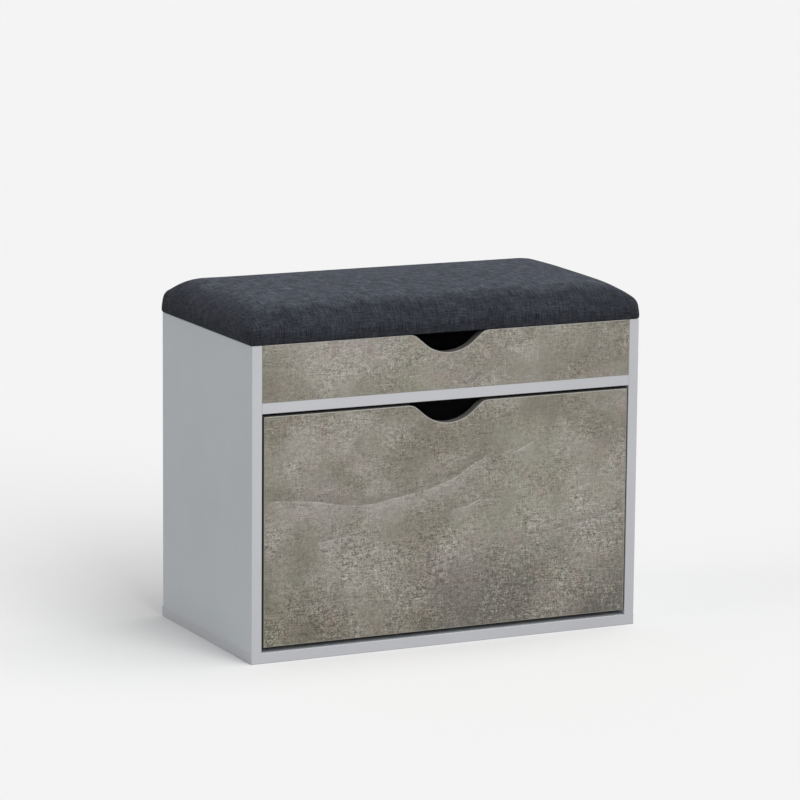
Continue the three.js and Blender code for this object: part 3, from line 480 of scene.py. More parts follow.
def woven_cover():
    """Charcoal heathered cloth: a plain weave of uneven yarns, dark with blue-grey fibres."""
    f = Finish("woven_cover")
    cloth = f.add("Attribute", {}, attribute_name="cloth_place").outputs["Vector"]
    u, v, above_foot = f.split(cloth)
    yarns = 2 * math.pi / YARN_PAIR
    across = f.math("SINE", f.times(u, yarns))
    along = f.math("SINE", f.times(v, yarns))
    over = f.times(across, along)
    weft = f.noise(1.0, 3.0, 0.6, place=f.stretched((70.0, 800.0, 1.0), place=cloth))
    warp = f.noise(1.0, 3.0, 0.6, place=f.stretched((800.0, 70.0, 1.0), place=cloth))
    on_top = f.between(over, -0.4, 0.4)
    yarn = f.add("Mix", {0: on_top, 2: warp, 3: weft}, data_type="FLOAT").outputs[0]
    colour = f.mix(f.between(yarn, 0.38, 0.62), (0.0085, 0.0098, 0.0125), (0.039, 0.043, 0.0545))
    slub = f.noise(1.0, 2.0, 0.5, place=f.stretched((30.0, 400.0, 1.0), place=cloth))
    colour = f.mix(f.between(slub, 0.55, 0.72, 0.0, 0.3), colour, (0.056, 0.062, 0.080))
    fleck = f.noise(600.0, 2.0, 0.6, place=cloth)
    colour = f.mix(f.between(fleck, 0.58, 0.70, 0.0, 0.35), colour, (0.085, 0.092, 0.110))
    cloud = f.noise(16.0, 4.0, 0.6)
    colour = f.mix(f.between(cloud, 0.35, 0.65, 0.22, 0.0), colour, (0.008, 0.009, 0.012))
    long_warp = f.noise(1.0, 2.0, 0.6, place=f.stretched((620.0, 24.0, 1.0), place=cloth))
    long_weft = f.noise(1.0, 2.0, 0.6, place=f.stretched((24.0, 620.0, 1.0), place=cloth))
    blotch = f.noise(1.0, 2.0, 0.6, place=f.stretched((60.0, 75.0, 1.0), place=cloth))
    on_seat = f.between(above_foot, 0.038, 0.051)
    streaks = f.math("MULTIPLY_ADD", long_warp, 1.6, f.times(long_weft, 0.7))
    streaks = f.math("MULTIPLY_ADD", blotch, 1.1, streaks)
    streaks = f.minus(streaks, 1.7)
    shade = f.math("MULTIPLY_ADD", streaks, f.between(on_seat, 0.0, 1.0, 1.0, 1.5), 1.0)
    # Painted light: the nearly flat top is up to 1.88 times as bright as the sides, standing in
    # for its sheen and the light from above.
    shade = f.times(shade, f.math("MULTIPLY_ADD", on_seat, 0.88, 1.0))
    # Painted shade: the cloth is darker towards its foot, 0.88 there against 1.1 from 20 mm up.
    shade = f.times(shade, f.between(above_foot, 0.004, 0.020, 0.88, 1.1))
    x, y, _ = f.split(f.place)
    in_x = f.minus(HALF_X, f.absolute(f.minus(x, CENTRE.x)))
    in_y = f.minus(HALF_Y, f.absolute(f.minus(y, CENTRE.y)))
    off = f.absolute(f.plus(f.minus(in_x, in_y), FOLD_OFF))
    fold = f.times(f.between(off, 1.5 * MM, 0.2 * MM), f.between(above_foot, 0.026, 0.016))
    fold = f.times(fold, f.between(f.plus(in_x, in_y), 0.05, 0.03))
    # Painted shade: the cloth is darker along each corner's fold, down to 0.55, for the shade in
    # the crease.
    colour = f.scaled(colour, f.times(shade, f.between(fold, 0.0, 1.0, 1.0, 0.55)))
    gaps = f.plus(f.absolute(across), f.absolute(along))
    height = f.plus(f.times(gaps, 0.5), f.times(yarn, 1.2))
    height = f.math("MULTIPLY_ADD", fold, -5.0, height)
    uneven = f.noise(1.0, 2.0, 0.6, place=f.stretched((90.0, 130.0, 1.0), place=cloth))
    relief = f.bump(uneven, 0.0010, 1.0)
    f.set(Base_Color=colour, Roughness=0.92, Sheen_Weight=0.04, Sheen_Roughness=0.3,
          Sheen_Tint=(0.60, 0.66, 0.85), Specular_IOR_Level=0.15,
          Normal=f.bump(height, 0.00022, 0.7, under=relief))
    return f.material


FINISHES = {
    "white_board": melamine(),
    "concrete_board": concrete(),
    "hardboard": hardboard(),
    "raw_board": chipboard(),
    "seat_fabric": woven_cover(),
    "foam": foam_body(),
    "lining": lining_cloth(),
    "steel": plated_steel(),
    "plastic": moulded_plastic(),
    "rubber": bumper_rubber(),
}
for subpart in frame["record"]["subparts"]:
    for material_slot in nodes[subpart["node"]].material_slots:
        material_slot.material = FINISHES[subpart["material_slot"]]

# ---------------------------------------------------------------- pieces


def piece(name, points, faces, body, finish, smooth=False):
    """A mesh that rides on a body and takes the finish it is given."""
    mesh = bpy.data.meshes.new(name)
    mesh.from_pydata([tuple(point) for point in points], [], faces)
    mesh.materials.append(finish)
    mesh.shade_smooth() if smooth else mesh.shade_flat()
    made = bpy.data.objects.new(name, mesh)
    scene.collection.objects.link(made)
    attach(made, body)
    return made


def rows_of_quads(rows, count):
    """Faces between rings of points, each ring of the same count."""
    faces = []
    for row in range(rows - 1):
        for k in range(count):
            a, b = row * count + k, row * count + (k + 1) % count
            faces.append((a, b, b + count, a + count))
    return faces


# Seat cushion

EDGE = 14 * MM  # upright, round the seat board
SHOULDER = 48 * MM  # from the outer face in to the nearly flat top
FULLNESS = 1.7  # exponent of the shoulder's curve: 2 is an ellipse, 1 is flat
CROWN = 4 * MM
CROWN_POWER_X, CROWN_POWER_Y = 5, 2  # how long the top stays level before it falls
HEM_RADIUS = 1.5 * MM  # of the plan's corners, at the hem's inner edge
FOOT_RADIUS = 5 * MM  # and at the foot
CORNER_RADIUS = 14 * MM  # and on the shoulder
DROOPS = {"front_right": 4.0 * MM, "front_left": 2.4 * MM, "back_right": 0.4 * MM,
          "back_left": -0.8 * MM}  # of the cloth near each corner
DROOP_REACH = 72 * MM
EAR = 16 * MM  # round each corner, where the folded cloth stands full
EARS = {"front_right": 5.2 * MM, "front_left": 0.8 * MM, "back_right": 1.6 * MM,
        "back_left": 10.6 * MM}  # how far the cloth stands up there
EAR_PLACE, EAR_WIDTH = 7 * MM, 8 * MM
RISE = 1.7 * MM  # of the right end, where the filling stands fuller
RISE_PLACE, RISE_LENGTH = 108 * MM, 70 * MM  # from the back, and along the end
RISE_REACH = 110 * MM  # in from the end
PUCKER = 0.45 * MM  # of the small folds that spread from each corner
PUCKER_PLACE, PUCKER_WIDTH, PUCKER_COUNT = 24 * MM, 11 * MM, 14.0
PUCKER_DRIFT = 30  # radians a metre, so that the four corners differ
HOLLOW_SHARE = 0.75  # of a corner's droop, in the straight pull from it to the top
HOLLOW_START, HOLLOW_END, HOLLOW_WIDTH = 8 * MM, 62 * MM, 17 * MM
HEM = 25 * MM
RECESS = 0.9 * MM  # of the board inside the hem
TUCK = 0.35 * MM  # how far the foot is drawn in
HANG = 1.5 * MM  # of the cloth's lower edge, outside the carcass
# Each (drawn in, share of the hang)
HANG_STOPS = ((1.25 * MM, 0.0), (1.2 * MM, 0.7), (0.95 * MM, 1.0), (0.55 * MM, 0.85))
HINGE_ROOM = 3 * MM  # at the back, where the lower edge doesn't hang
SIDE_TUCK, TUCK_HEIGHT = 0.6 * MM, 12 * MM  # the ends' foot is drawn in a little
TUCK_REACH = 10 * MM
LEFT_TUCK, LEFT_TUCK_CHANGE = 0.6, 0.4  # on the left: at the middle, and from there to the back
EDGE_TUCK, EDGE_TUCK_START = 1.3 * MM, 0.45 * MM  # more at the lower edge, in from its outside
COLUMNS_X = 96
COLUMNS_Y = 56
EVEN_SHARE = 0.6  # of the columns' spacing; the rest draws them towards the corners
EDGE_ROWS = 5
SHOULDER_ROWS = 14
HEM_ROWS = 4
RELAX_STEPS = 400
HOLD_EDGE, HOLD_SHOULDER, HOLD_TOP = 0.4, 0.14, 0.22  # of the cloth in the simulation, to 1
SWELL_FRAMES = 20
SWELL_CAP = 3.0 * MM


def corner_shares(count):
    """Places along a side from -1 to 1, closer together towards the corners."""
    even = np.linspace(-1.0, 1.0, count + 1)
    return EVEN_SHARE * even + (1 - EVEN_SHARE) * np.sin(even * math.pi / 2)


def side_point(share, half, other, radius):
    """A point of a rounded rectangle's side, for a share of the way from its middle."""
    straight = half - radius
    run = abs(share) * (straight + radius * math.pi / 4)
    if run <= straight:
        return math.copysign(run, share), -other
    turn = (run - straight) / radius
    reach = straight + radius * math.sin(turn)
    return math.copysign(reach, share), -(other - radius + radius * math.cos(turn))


def ring(draw, radius):
    """The points of a rounded rectangle, anticlockwise from its front left corner."""
    a, b = HALF_X - draw, HALF_Y - draw
    front = [side_point(share, a, b, radius) for share in corner_shares(COLUMNS_X)[:-1]]
    side = [side_point(share, b, a, radius) for share in corner_shares(COLUMNS_Y)[:-1]]
    points = front + [(-y, x) for x, y in side]
    return np.array(points + [(-x, -y) for x, y in points])


def top_grid(edge):
    """Points inside a ring, as an even net that meets the ring's own points."""
    m, n = COLUMNS_X, COLUMNS_Y
    net = np.zeros((n + 1, m + 1, 2))
    xs, ys = corner_shares(m), corner_shares(n)
    net[:, :, 0] = xs[None, :] * edge[:, 0].max()
    net[:, :, 1] = ys[:, None] * edge[:, 1].max()
    net[0, :] = edge[:m + 1]
    net[:, m] = edge[m:m + n + 1]
    net[n, ::-1] = edge[m + n:2 * m + n + 1]
    net[::-1, 0] = np.vstack([edge[2 * m + n:], edge[:1]])
    for _ in range(RELAX_STEPS):
        middle = net[:-2, 1:-1] + net[2:, 1:-1] + net[1:-1, :-2] + net[1:-1, 2:]
        net[1:-1, 1:-1] = middle / 4
    return net


def grid_rim():
    """The net's places round its edge, in the order of a ring's points."""
    m, n = COLUMNS_X, COLUMNS_Y
    return ([(0, i) for i in range(m)] + [(j, m) for j in range(n)]
            + [(n, i) for i in range(m, 0, -1)] + [(j, 0) for j in range(n, 0, -1)])


def seat_profile():
    """Stops from the hem's inner edge out, up and over to the top.

    Each is (drawn in, height, corner radius, how firmly the cloth is held).
    """
    bottom = COVER_LOW.z
    rise = COVER_HIGH.z - bottom - EDGE - CROWN
    stops = [(HEM, bottom + RECESS, HEM_RADIUS, 1.0)]
    for step in range(HEM_ROWS):
        draw = HEM * (1 - step / HEM_ROWS)
        stops.append((draw, bottom, max(FOOT_RADIUS - draw, HEM_RADIUS), 1.0))
    for draw, share in HANG_STOPS:
        stops.append((draw, bottom - HANG * share, FOOT_RADIUS - draw, 1.0))
    stops.append((TUCK, bottom, FOOT_RADIUS, 1.0))
    for step in range(1, EDGE_ROWS + 1):
        share = step / EDGE_ROWS
        radius = FOOT_RADIUS + (CORNER_RADIUS - FOOT_RADIUS) * share
        hold = 1.0 + (HOLD_EDGE - 1.0) * share
        stops.append((TUCK * (1 - share) ** 2, bottom + EDGE * share, radius, hold))
    for step in range(1, SHOULDER_ROWS + 1):
        turn = math.pi / 2 * step / SHOULDER_ROWS
        draw = SHOULDER * (1 - max(math.cos(turn), 0.0) ** (2 / FULLNESS))
        z = bottom + EDGE + rise * math.sin(turn) ** (2 / FULLNESS)
        stops.append((draw, z, CORNER_RADIUS, HOLD_SHOULDER))
    return stops


def settled(x, y, z):
    """The cloth's height: lower near the corners, where it is pulled down, fuller at the right."""
    if z < COVER_LOW.z:  # the lower edge hangs, but not over the hinges
        clear = min(max((HALF_Y - HINGE_ROOM - y) / HINGE_ROOM, 0.0), 1.0)
        return COVER_LOW.z - (COVER_LOW.z - z) * clear
    in_x, in_y, in_y_back = HALF_X - abs(x), HALF_Y - abs(y), HALF_Y - y
    corner = ("front_" if y < 0 else "back_") + ("left" if x < 0 else "right")
    droop = DROOPS[corner]
    away = math.hypot(in_x, in_y)
    low = droop * math.exp(-(away / DROOP_REACH) ** 2) * (1 - math.exp(-(away / EAR) ** 2))
    along = ((in_x + in_y) / 2 - HOLLOW_START) / (HOLLOW_END - HOLLOW_START)
    if 0.0 < along < 1.0:
        beside = math.exp(-((in_x - in_y) / HOLLOW_WIDTH) ** 2)
        low += HOLLOW_SHARE * droop * math.sin(math.pi * along) ** 2 * beside
    low -= EARS[corner] * math.exp(-((away - EAR_PLACE) / EAR_WIDTH) ** 2)
    if x > 0:
        fuller = math.exp(-((in_y_back - RISE_PLACE) / RISE_LENGTH) ** 2)
        low -= RISE * fuller * max(1.0 - in_x / RISE_REACH, 0.0)
    fan = math.sin(math.atan2(in_y, max(in_x, 1e-6)) * PUCKER_COUNT + x * PUCKER_DRIFT)
    low += PUCKER * fan * math.exp(-((away - PUCKER_PLACE) / PUCKER_WIDTH) ** 2)
    share = max(z - COVER_LOW.z, 0.0) / (COVER_HIGH.z - COVER_LOW.z)
    return z - low * share


def tucked(x, y, z):
    """Draws the cloth of the two ends in sideways, most at their foot."""
    height = min(max(z - COVER_LOW.z, 0.0) / TUCK_HEIGHT, 1.0)
    drawn = HALF_X - abs(x)
    outer = min(max(1.0 - drawn / TUCK_REACH, 0.0), 1.0)
    share = 1.0 if x > 0 else LEFT_TUCK + LEFT_TUCK_CHANGE * y / HALF_Y
    tuck = SIDE_TUCK * (1 - height) ** 2
    if z < COVER_LOW.z + 1e-6 and drawn > EDGE_TUCK_START:
        tuck += EDGE_TUCK
    return x - math.copysign(tuck * share * outer, x)


def crowned(x, y):
    """The height of the nearly flat top."""
    u = min(abs(x) / (HALF_X - SHOULDER), 1.0)
    v = min(abs(y) / (HALF_Y - SHOULDER), 1.0)
    return COVER_HIGH.z - CROWN + CROWN * (1 - u ** CROWN_POWER_X) * (1 - v ** CROWN_POWER_Y)


def cushion_form():
    """Points, faces, places on the flat cloth, and how firmly each point is held."""
    stops = seat_profile()
    count = 2 * (COLUMNS_X + COLUMNS_Y)
    points, cloth, held = [], [], []
    inner = ring(SHOULDER, CORNER_RADIUS)
    unrolled = [0.0]  # from the top's edge down to each stop, along the cloth
    for here, before in zip(stops[:0:-1], stops[-2::-1]):
        unrolled.append(unrolled[-1] + math.hypot(here[0] - before[0], here[1] - before[1]))

    def add_point(x, y, z, place, hold):
        x = tucked(x, y, z)
        points.append((x + CENTRE.x, y + CENTRE.y, settled(x, y, z)))
        cloth.append((place[0], place[1], max(z - COVER_LOW.z, 0.0)))
        held.append(hold)

    for (draw, z, radius, hold), down in zip(stops, reversed(unrolled)):
        for k, ((x, y), start) in enumerate(zip(ring(draw, radius), inner)):
            on_long_side = k % (COLUMNS_X + COLUMNS_Y) < COLUMNS_X
            if on_long_side:
                place = (x, start[1] + math.copysign(down, y))
            else:
                place = (start[0] + math.copysign(down, x), y)
            add_point(x, y, z, place, hold)
    faces = rows_of_quads(len(stops), count)

    def add_net(net, edge_start, height, hold, upwards):
        """Closes a ring of points with a net whose edge is that ring."""
        index = {place: edge_start + k for k, place in enumerate(grid_rim())}
        for j in range(1, COLUMNS_Y):
            for i in range(1, COLUMNS_X):
                index[j, i] = len(points)
                x, y = net[j, i]
                add_point(x, y, height(x, y), (x, y), hold)
        for j in range(COLUMNS_Y):
            for i in range(COLUMNS_X):
                face = (index[j, i], index[j, i + 1], index[j + 1, i + 1], index[j + 1, i])
                faces.append(face if upwards else face[::-1])

    add_net(top_grid(inner), (len(stops) - 1) * count, crowned, HOLD_TOP, True)
    hem_net = top_grid(ring(HEM, HEM_RADIUS))
    add_net(hem_net, 0, lambda x, y: COVER_LOW.z + RECESS, 1.0, False)
    return points, faces, cloth, held


def swell(cushion, held):
    """Fills the cushion by cloth simulation, and keeps each point within the cap."""
    rest = np.array([tuple(v.co) for v in cushion.data.vertices])
    group = cushion.vertex_groups.new(name="held")
    for k, weight in enumerate(held):
        group.add([k], weight, "REPLACE")
    cloth = cushion.modifiers.new("cloth", "CLOTH")
    settings = cloth.settings
    settings.quality = 6
    settings.mass = 0.05
    settings.tension_stiffness = 20.0
    settings.compression_stiffness = 15.0
    settings.shear_stiffness = 8.0
    settings.bending_stiffness = 0.4
    settings.use_pressure = True
    settings.uniform_pressure_force = 10.0
    settings.vertex_group_mass = "held"
    settings.pin_stiffness = 1.0
    settings.effector_weights.gravity = 0.0
    cloth.point_cache.frame_start = 1
    cloth.point_cache.frame_end = SWELL_FRAMES
    for moment in range(1, SWELL_FRAMES + 1):
        scene.frame_set(moment)
    shown = cushion.evaluated_get(bpy.context.evaluated_depsgraph_get())
    moved = np.array([tuple(v.co) for v in shown.data.vertices]) - rest
    cushion.modifiers.remove(cloth)
    scene.frame_set(1)
    far = np.linalg.norm(moved, axis=1)
    capped = SWELL_CAP * np.tanh(far / SWELL_CAP)
    scale = np.where(far > 1e-9, capped / np.maximum(far, 1e-9), 0.0)
    after = rest + moved * scale[:, None]
    cushion.data.vertices.foreach_set("co", after.ravel())
    cushion.data.update()


def make_cushion():
    points, faces, cloth, held = cushion_form()
    cushion = piece("seat_cushion", points, faces, "lid",
                    FINISHES["seat_fabric"], smooth=True)
    attribute = cushion.data.attributes.new("cloth_place", "FLOAT_VECTOR", "POINT")
    attribute.data.foreach_set("vector", np.array(cloth).ravel())
    swell(cushion, held)
    finer = cushion.modifiers.new("finer", "SUBSURF")
    finer.levels = finer.render_levels = 1
    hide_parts("seat_cover", "seat_foam")


make_cushion()

# Edge bands of the two fronts

LIP_WIDTH = 0.4 * MM  # on the flat of the face
LIP_PROUD = 0.06 * MM
LIP_DEPTH = 0.5 * MM  # as wide as the panel's own chamfer


def front_loops(node):
    """The outlines of a panel's flat front face, each a ring of points seen from the front."""
    mesh = nodes[node].data
    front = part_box(node)[0].y
    flat = [p for p in mesh.polygons
            if all(abs(mesh.vertices[v].co.y - front) < 0.01 * MM for v in p.vertices)]
    sides = {}  # keeps its order, unlike a set
    for polygon in flat:
        ring_of = [tuple(round(c, 7) for c in mesh.vertices[v].co) for v in polygon.vertices]
        for a, b in zip(ring_of, ring_of[1:] + ring_of[:1]):
            sides[a, b] = True
    after = {a: b for a, b in sides if (b, a) not in sides}
    loops = []
    while after:
        start, point = after.popitem()
        loop = [start]
        while point != start:
            loop.append(point)
            point = after.pop(point)
        loops.append(loop)
    return loops


def make_lip(node, body):
    """A closed band along the rim of a front, filling its chamfer."""
    loop = max(front_loops(node), key=len)
    section = [(-LIP_WIDTH, -LIP_PROUD), (0.6 * LIP_DEPTH, -LIP_PROUD), (LIP_DEPTH, LIP_DEPTH / 2),
               (LIP_DEPTH, 1.2 * LIP_DEPTH), (-LIP_WIDTH, LIP_DEPTH / 2)]
    points = []
    for before, here, after in zip(loop[-1:] + loop[:-1], loop, loop[1:] + loop[:1]):
        first = Vector((here[0] - before[0], here[2] - before[2])).normalized()
        second = Vector((after[0] - here[0], after[2] - here[2])).normalized()
        both = (first + second).normalized()
        outward = Vector((both.y, -both.x)) / max(both.dot(first), 0.5)
        for out, deep in section:
            points.append((here[0] + outward.x * out, here[1] + deep, here[2] + outward.y * out))
    n, last = len(section), (len(loop) - 1) * len(section)
    faces = rows_of_quads(len(loop), n)
    faces += [(last + k, last + (k + 1) % n, (k + 1) % n, k) for k in range(n)]
    made = piece(node + "_edge_band", points, faces, body, BAND)
    turned_out = bmesh.new()
    turned_out.from_mesh(made.data)
    bmesh.ops.recalc_face_normals(turned_out, faces=turned_out.faces)
    turned_out.to_mesh(made.data)
    turned_out.free()


BAND = edge_band()
make_lip("upper_front_panel", "carcass")
make_lip("lower_front_panel", "flap")

STRIP_THICK = 1.3 * MM
STRIP_BEHIND = 0.5 * MM  # of it, inside the panel's end
STRIP_CHAMFER = 0.4 * MM
STRIP_INSET = 0.3 * MM  # from the panel's two faces
STRIP_SHORT = 0.6 * MM  # of the panel's top and bottom


def make_strip():
    """Edging on the right-hand end of the lower front, which narrows the gap there."""
    low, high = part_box("lower_front_panel")
    near, far = low.y + STRIP_INSET, high.y - STRIP_INSET
    flat = STRIP_THICK - STRIP_CHAMFER
    outline = [(-STRIP_BEHIND, near), (flat, near), (STRIP_THICK, near + STRIP_CHAMFER),
               (STRIP_THICK, far - STRIP_CHAMFER), (flat, far), (-STRIP_BEHIND, far)]
    n = len(outline)
    points = [(high.x + x, y, z) for z in (low.z + STRIP_SHORT, high.z - STRIP_SHORT)
              for x, y in outline]
    faces = rows_of_quads(2, n) + [tuple(range(n))[::-1], tuple(range(n, 2 * n))]
    piece("lower_front_panel_edging", points, faces, "flap",
          FINISHES["concrete_board"])


make_strip()

# Small fasteners


def turned(points, middle, facing, turn):
    """Points made round the z axis, turned to face another way and set in place."""
    aim = Vector(facing).to_track_quat("Z", "Y") @ Quaternion((0.0, 0.0, 1.0), turn)
    return [Vector(middle) + aim @ Vector(point) for point in points]


def circle(radius, z, count):
    angles = [2 * math.pi * k / count for k in range(count)]
    return [(radius * math.cos(a), radius * math.sin(a), z) for a in angles]


def domed(radius, profile, count):
    """Rings round z, each (share of the radius, height), closed at the first."""
    points = [point for share, z in profile for point in circle(share * radius, z, count)]
    return points, [tuple(range(count))[::-1]] + rows_of_quads(len(profile), count)


SCREW_RADIUS = 2.7 * MM
SCREW_SUNK = 0.6 * MM
SCREW_SEGMENTS = 24
CROSS_HALF, CROSS_REACH = 0.19 * SCREW_RADIUS, 0.62 * SCREW_RADIUS  # of each arm of the recess
CROSS_DEPTH = 0.45 * MM


def screw_head(proud):
    """A countersunk head with a cross recess, facing +Z, its seat at z = 0."""
    n = SCREW_SEGMENTS
    profile = [(0.5, -SCREW_SUNK), (1.0, 0.0), (0.93, 0.6 * proud), (0.78, proud)]
    points, faces = domed(SCREW_RADIUS, profile, n)
    cross = []
    for quarter in range(4):
        for x, y in ((CROSS_REACH, -CROSS_HALF), (CROSS_REACH, CROSS_HALF),
                     (CROSS_HALF, CROSS_HALF)):
            for _ in range(quarter):
                x, y = -y, x
            cross.append((x, y))
    m, top, rim = len(cross), 3 * n, 4 * n
    points += [(x, y, proud) for x, y in cross]
    points += [(x, y, proud - CROSS_DEPTH) for x, y in cross]
    i, j = 0, 1  # the circle's first point lies between the cross's first two
    while i < n or j <= m:  # a ring of triangles between the circle and the cross
        outer = 2 * math.pi * (i + 1) / n
        x, y = cross[(j + 1) % m]
        inner = math.atan2(y, x) % (2 * math.pi) + 2 * math.pi * ((j + 1) // m)
        if j > m or (i < n and outer <= inner):
            faces.append((top + i % n, top + (i + 1) % n, rim + j % m))
            i += 1
        else:
            faces.append((top + i % n, rim + (j + 1) % m, rim + j % m))
            j += 1
    faces += [(b, a, a + m, b + m) for a, b in
              ((rim + k, rim + (k + 1) % m) for k in range(m))]
    faces.append(tuple(rim + m + k for k in range(m)))
    return points, faces


NAIL_RADIUS, NAIL_PROUD, NAIL_SUNK = 2.2 * MM, 0.5 * MM, 0.4 * MM
NAIL_SEGMENTS = 16


def nail_head():
    """A domed nail head facing +Z, its seat at z = 0."""
    profile = [(0.5, -NAIL_SUNK), (1.0, 0.0), (1.0, 0.4 * NAIL_PROUD), (0.7, 0.85 * NAIL_PROUD),
               (0.3, NAIL_PROUD)]
    points, faces = domed(NAIL_RADIUS, profile, NAIL_SEGMENTS)
    last = (len(profile) - 1) * NAIL_SEGMENTS
    faces.append(tuple(range(last, last + NAIL_SEGMENTS)))
    return points, faces


STAPLE_WIDTH, STAPLE_LEG, STAPLE_BEND = 10 * MM, 2.5 * MM, 0.7 * MM
STAPLE_BEND_STEPS = 4
WIRE_WIDTH, WIRE_THICK, WIRE_SIDES = 1.1 * MM, 0.5 * MM, 8
WIRE_FLAT, WIRE_SLOPE = 0.92, 1.3  # of the wire's section, a rectangle with its corners cut


def wire_section(share):
    """Half the wire's section one way, for a sine or cosine of the way round it."""
    return max(-WIRE_FLAT, min(WIRE_FLAT, WIRE_SLOPE * share))


def staple():
    """A flat wire staple: its back along x just above z = 0, its legs going down."""
    half, bend, n = STAPLE_WIDTH / 2, STAPLE_BEND, WIRE_SIDES
    path = [(-half, -STAPLE_LEG), (-half, -bend / 2)]
    for step in range(1, STAPLE_BEND_STEPS):
        turn = math.pi / 2 * step / STAPLE_BEND_STEPS
        path.append((-half + bend * (1 - math.cos(turn)), -bend / 2 + bend * math.sin(turn)))
    path.append((-half + bend, bend / 2))
    path += [(-x, z) for x, z in reversed(path)]
    points = []
    for k, (x, z) in enumerate(path):
        before, after = path[max(k - 1, 0)], path[min(k + 1, len(path) - 1)]
        run = Vector((after[0] - before[0], after[1] - before[1])).normalized()
        for corner in range(n):
            angle = 2 * math.pi * (corner + 0.5) / n
            side = WIRE_WIDTH / 2 * wire_section(math.cos(angle))
            lift = WIRE_THICK / 2 * wire_section(math.sin(angle))
            points.append((x - run.y * lift, side, z + run.x * lift))
    faces = [tuple(range(n)), tuple(range(n * len(path) - n, n * len(path)))[::-1]]
    faces += [face[::-1] for face in rows_of_quads(len(path), n)]
    return points, faces


def fasteners(name, body, shape, places, smooth=False):
    """One piece of many alike: each place is (middle, facing, turn)."""
    shape_points, shape_faces = shape
    points, faces = [], []
    for middle, facing, turn in places:
        first = len(points)
        points += turned(shape_points, middle, facing, turn)
        faces += [tuple(first + v for v in face) for face in shape_faces]
    piece(name, points, faces, body, FINISHES["steel"], smooth)


UP, DOWN, BACK = (0.0, 0.0, 1.0), (0.0, 0.0, -1.0), (0.0, 1.0, 0.0)
HINGE_SCREW_IN, HINGE_SCREW_APART = 5.5 * MM, 15 * MM  # from the leaf's front and its middle
FIXED_LEAF_TOP, MOVING_LEAF_FOOT = 0.8 * MM, 1.1 * MM  # over the rail, under the seat
GUIDE_PLATE = 2 * MM  # thick, on the side panel
GUIDE_SCREWS = ((5 * MM, 4.5), (15 * MM, 13.5))  # height on the plate, and turn
ARM_SCREW_IN, ARM_SCREW_APART = 5 * MM, 10 * MM
ARM_FOOT = 1.5 * MM  # thick, under the seat
NAIL_EDGE, NAIL_ENDS, NAIL_TOP = 5.5 * MM, 20 * MM, 12 * MM  # in from the back's edges
NAILS_UP, NAILS_ACROSS = 6, 5
HEM_STAPLES_X, HEM_STAPLES_Y = 15, 7
HEM_STAPLE_IN, HEM_STAPLE_UNDER = 19 * MM, 0.1 * MM  # from the cover's sides and underside
HEM_STAPLE_TURN, HEM_STAPLE_DRIFT = 0.12, 1.2 * MM  # uneven, as they are shot in by hand


def hinge_screws():
    for side in ("left", "right"):
        for leaf, body, facing in (("fixed", "carcass", UP), ("moving", "lid", DOWN)):
            low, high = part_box(f"{side}_hinge_{leaf}_leaf")
            z = (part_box("rear_rail")[1].z + FIXED_LEAF_TOP if leaf == "fixed"
                 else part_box("seat_cover")[0].z - MOVING_LEAF_FOOT)
            x, y = (low.x + high.x) / 2, low.y + HINGE_SCREW_IN
            places = [((x + step * HINGE_SCREW_APART, y, z), facing, 0.5 + step)
                      for step in (-1, 1)]
            fasteners(f"{side}_hinge_{leaf}_screws", body, screw_head(0.1 * MM), places)


def stay_screws():
    for side, sign in (("left", -1.0), ("right", 1.0)):
        low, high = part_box(f"{side}_stay_guide")
        y = (low.y + high.y) / 2
        x = sign * (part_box("right_side_panel")[0].x - GUIDE_PLATE)
        places = [((x, y, low.z + rise), (-sign, 0.0, 0.0), turn) for rise, turn in GUIDE_SCREWS]
        fasteners(f"{side}_stay_guide_screws", "carcass", screw_head(0.12 * MM), places)
        x = sign * (min(abs(low.x), abs(high.x)) - ARM_SCREW_IN)
        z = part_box(f"{side}_stay_arm")[1].z - ARM_FOOT
        places = [((x, y + step * ARM_SCREW_APART, z), DOWN, 0.3 - step) for step in (-1, 1)]
        fasteners(f"{side}_stay_arm_screws", "lid", screw_head(0.7 * MM), places)


def back_nails():
    low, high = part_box("back_panel")
    shelf_low, shelf_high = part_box("middle_shelf")
    places = []
    for x in (low.x + NAIL_EDGE, high.x - NAIL_EDGE):
        for step in range(NAILS_UP):
            share = step * (high.z - low.z - 2 * NAIL_ENDS) / (NAILS_UP - 1)
            places.append(((x, high.y, low.z + NAIL_ENDS + share), BACK, 0.0))
    for z in ((shelf_low.z + shelf_high.z) / 2, high.z - NAIL_TOP):
        for step in range(1, NAILS_ACROSS + 1):
            x = low.x + (high.x - low.x) * step / (NAILS_ACROSS + 1)
            places.append(((x, high.y, z), BACK, 0.0))
    fasteners("back_nails", "carcass", nail_head(), places, smooth=True)


def hem_staples():
    half_x, half_y = HALF_X - HEM_STAPLE_IN, HALF_Y - HEM_STAPLE_IN
    z = COVER_LOW.z - HEM_STAPLE_UNDER
    places = []
    for across, half, count in ((True, half_x, HEM_STAPLES_X), (False, half_y, HEM_STAPLES_Y)):
        for side in (-1, 1):
            for k in range(count):
                run = half * (2 * (k + 0.5) / count - 1)
                turn = HEM_STAPLE_TURN * math.sin(7.3 * k + 2.1 * side + 3.0 * across)
                drift = HEM_STAPLE_DRIFT * math.sin(4.7 * k + side)
                x, y = run, side * (half_y + drift)
                if not across:
                    x, y, turn = side * (half_x + drift), run, turn + math.pi / 2
                places.append(((CENTRE.x + x, CENTRE.y + y, z), DOWN, turn))
    fasteners("hem_staples", "lid", staple(), places)


hinge_screws()
stay_screws()
back_nails()
hem_staples()

# ---------------------------------------------------------------- stage and light

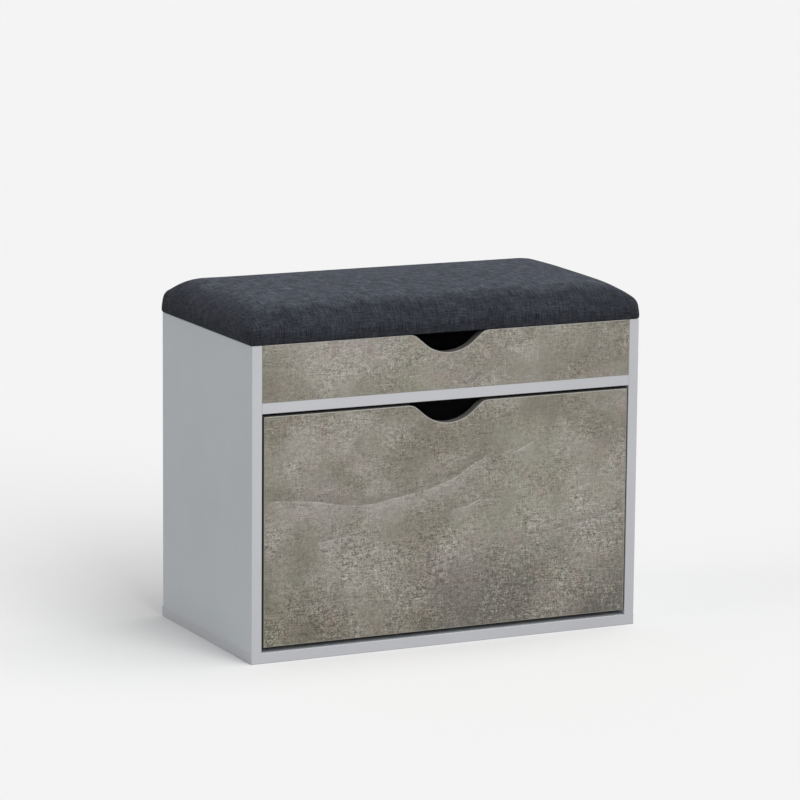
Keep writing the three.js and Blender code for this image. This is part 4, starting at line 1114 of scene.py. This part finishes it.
PALE = 0.896  # of the backdrop, as the camera sees it
FLOOR_SEEN = 0.78  # the floor's paleness, as the camera sees it
FLOOR_BOUNCE = 0.55  # and as it lights the object
FLOOR_HALF = 30.0
FLOOR_DROP = 0.2 * MM  # below the object's lowest point
SKY = 0.36
LAMP_DISTANCE = 3
LAMPS = {  # toward the lamp, its angle in degrees, its strength
    "front_light": ((0.174, -0.820, 0.545), 40, 1.59),
    "top_light": ((0.35, -0.20, 1.0), 58, 1.57),
    "left_fill": ((-0.94, 0.05, 0.34), 40, 0.56),
}


def floor_finish():
    """Matt pale paint, faintly mottled."""
    f = Finish("floor_paint")
    seen = f.add("LightPath", {}).outputs["Is Camera Ray"]
    mottle = f.between(f.noise(2.0), 0.3, 0.7, 0.998, 1.0)
    bright = f.add("CombineColor", {k: f.times(mottle, FLOOR_SEEN) for k in range(3)})
    colour = f.mix(seen, (FLOOR_BOUNCE,) * 3, bright.outputs[0])
    f.set(Base_Color=colour, Roughness=1.0, Specular_IOR_Level=0.0)
    return f.material


def make_floor():
    half = FLOOR_HALF
    mesh = bpy.data.meshes.new("floor")
    corners = [(-half, -half, 0.0), (half, -half, 0.0), (half, half, 0.0), (-half, half, 0.0)]
    mesh.from_pydata(corners, [], [(0, 1, 2, 3)])
    mesh.materials.append(floor_finish())
    floor = bpy.data.objects.new("floor", mesh)
    floor.location.z = cad_low.z - FLOOR_DROP
    scene.collection.objects.link(floor)


def make_lamp(name, toward, spread, energy):
    data = bpy.data.lights.new(name, "SUN")
    data.energy = energy
    data.angle = math.radians(spread)
    lamp = bpy.data.objects.new(name, data)
    lamp.rotation_mode = "QUATERNION"
    lamp.rotation_quaternion = Vector(toward).to_track_quat("Z", "Y")
    lamp.location = Vector(toward) * LAMP_DISTANCE
    scene.collection.objects.link(lamp)


def make_world():
    """An even sky that lights the object, and a pale backdrop where it is seen or mirrored."""
    world = bpy.data.worlds.new("studio")
    world.use_nodes = True
    tree = world.node_tree
    tree.nodes.clear()
    rays = add_node(tree, "LightPath", {}).outputs
    seen = rays["Is Camera Ray"]
    for other in ("Is Glossy Ray", "Is Transmission Ray"):
        seen = add_node(tree, "Math", {0: seen, 1: rays[other]}, operation="MAXIMUM").outputs[0]
    light = add_node(tree, "Background", {"Color": (1.0, 1.0, 1.0), "Strength": SKY})
    backdrop = add_node(tree, "Background", {"Color": (PALE, PALE, PALE), "Strength": 1.0})
    mixed = add_node(tree, "MixShader", {0: seen, 1: light.outputs[0], 2: backdrop.outputs[0]})
    add_node(tree, "OutputWorld", {"Surface": mixed.outputs[0]})
    scene.world = world


make_floor()
for lamp_name, (lamp_toward, lamp_spread, lamp_energy) in LAMPS.items():
    make_lamp(lamp_name, lamp_toward, lamp_spread, lamp_energy)
make_world()
scene.view_settings.view_transform = "Standard"
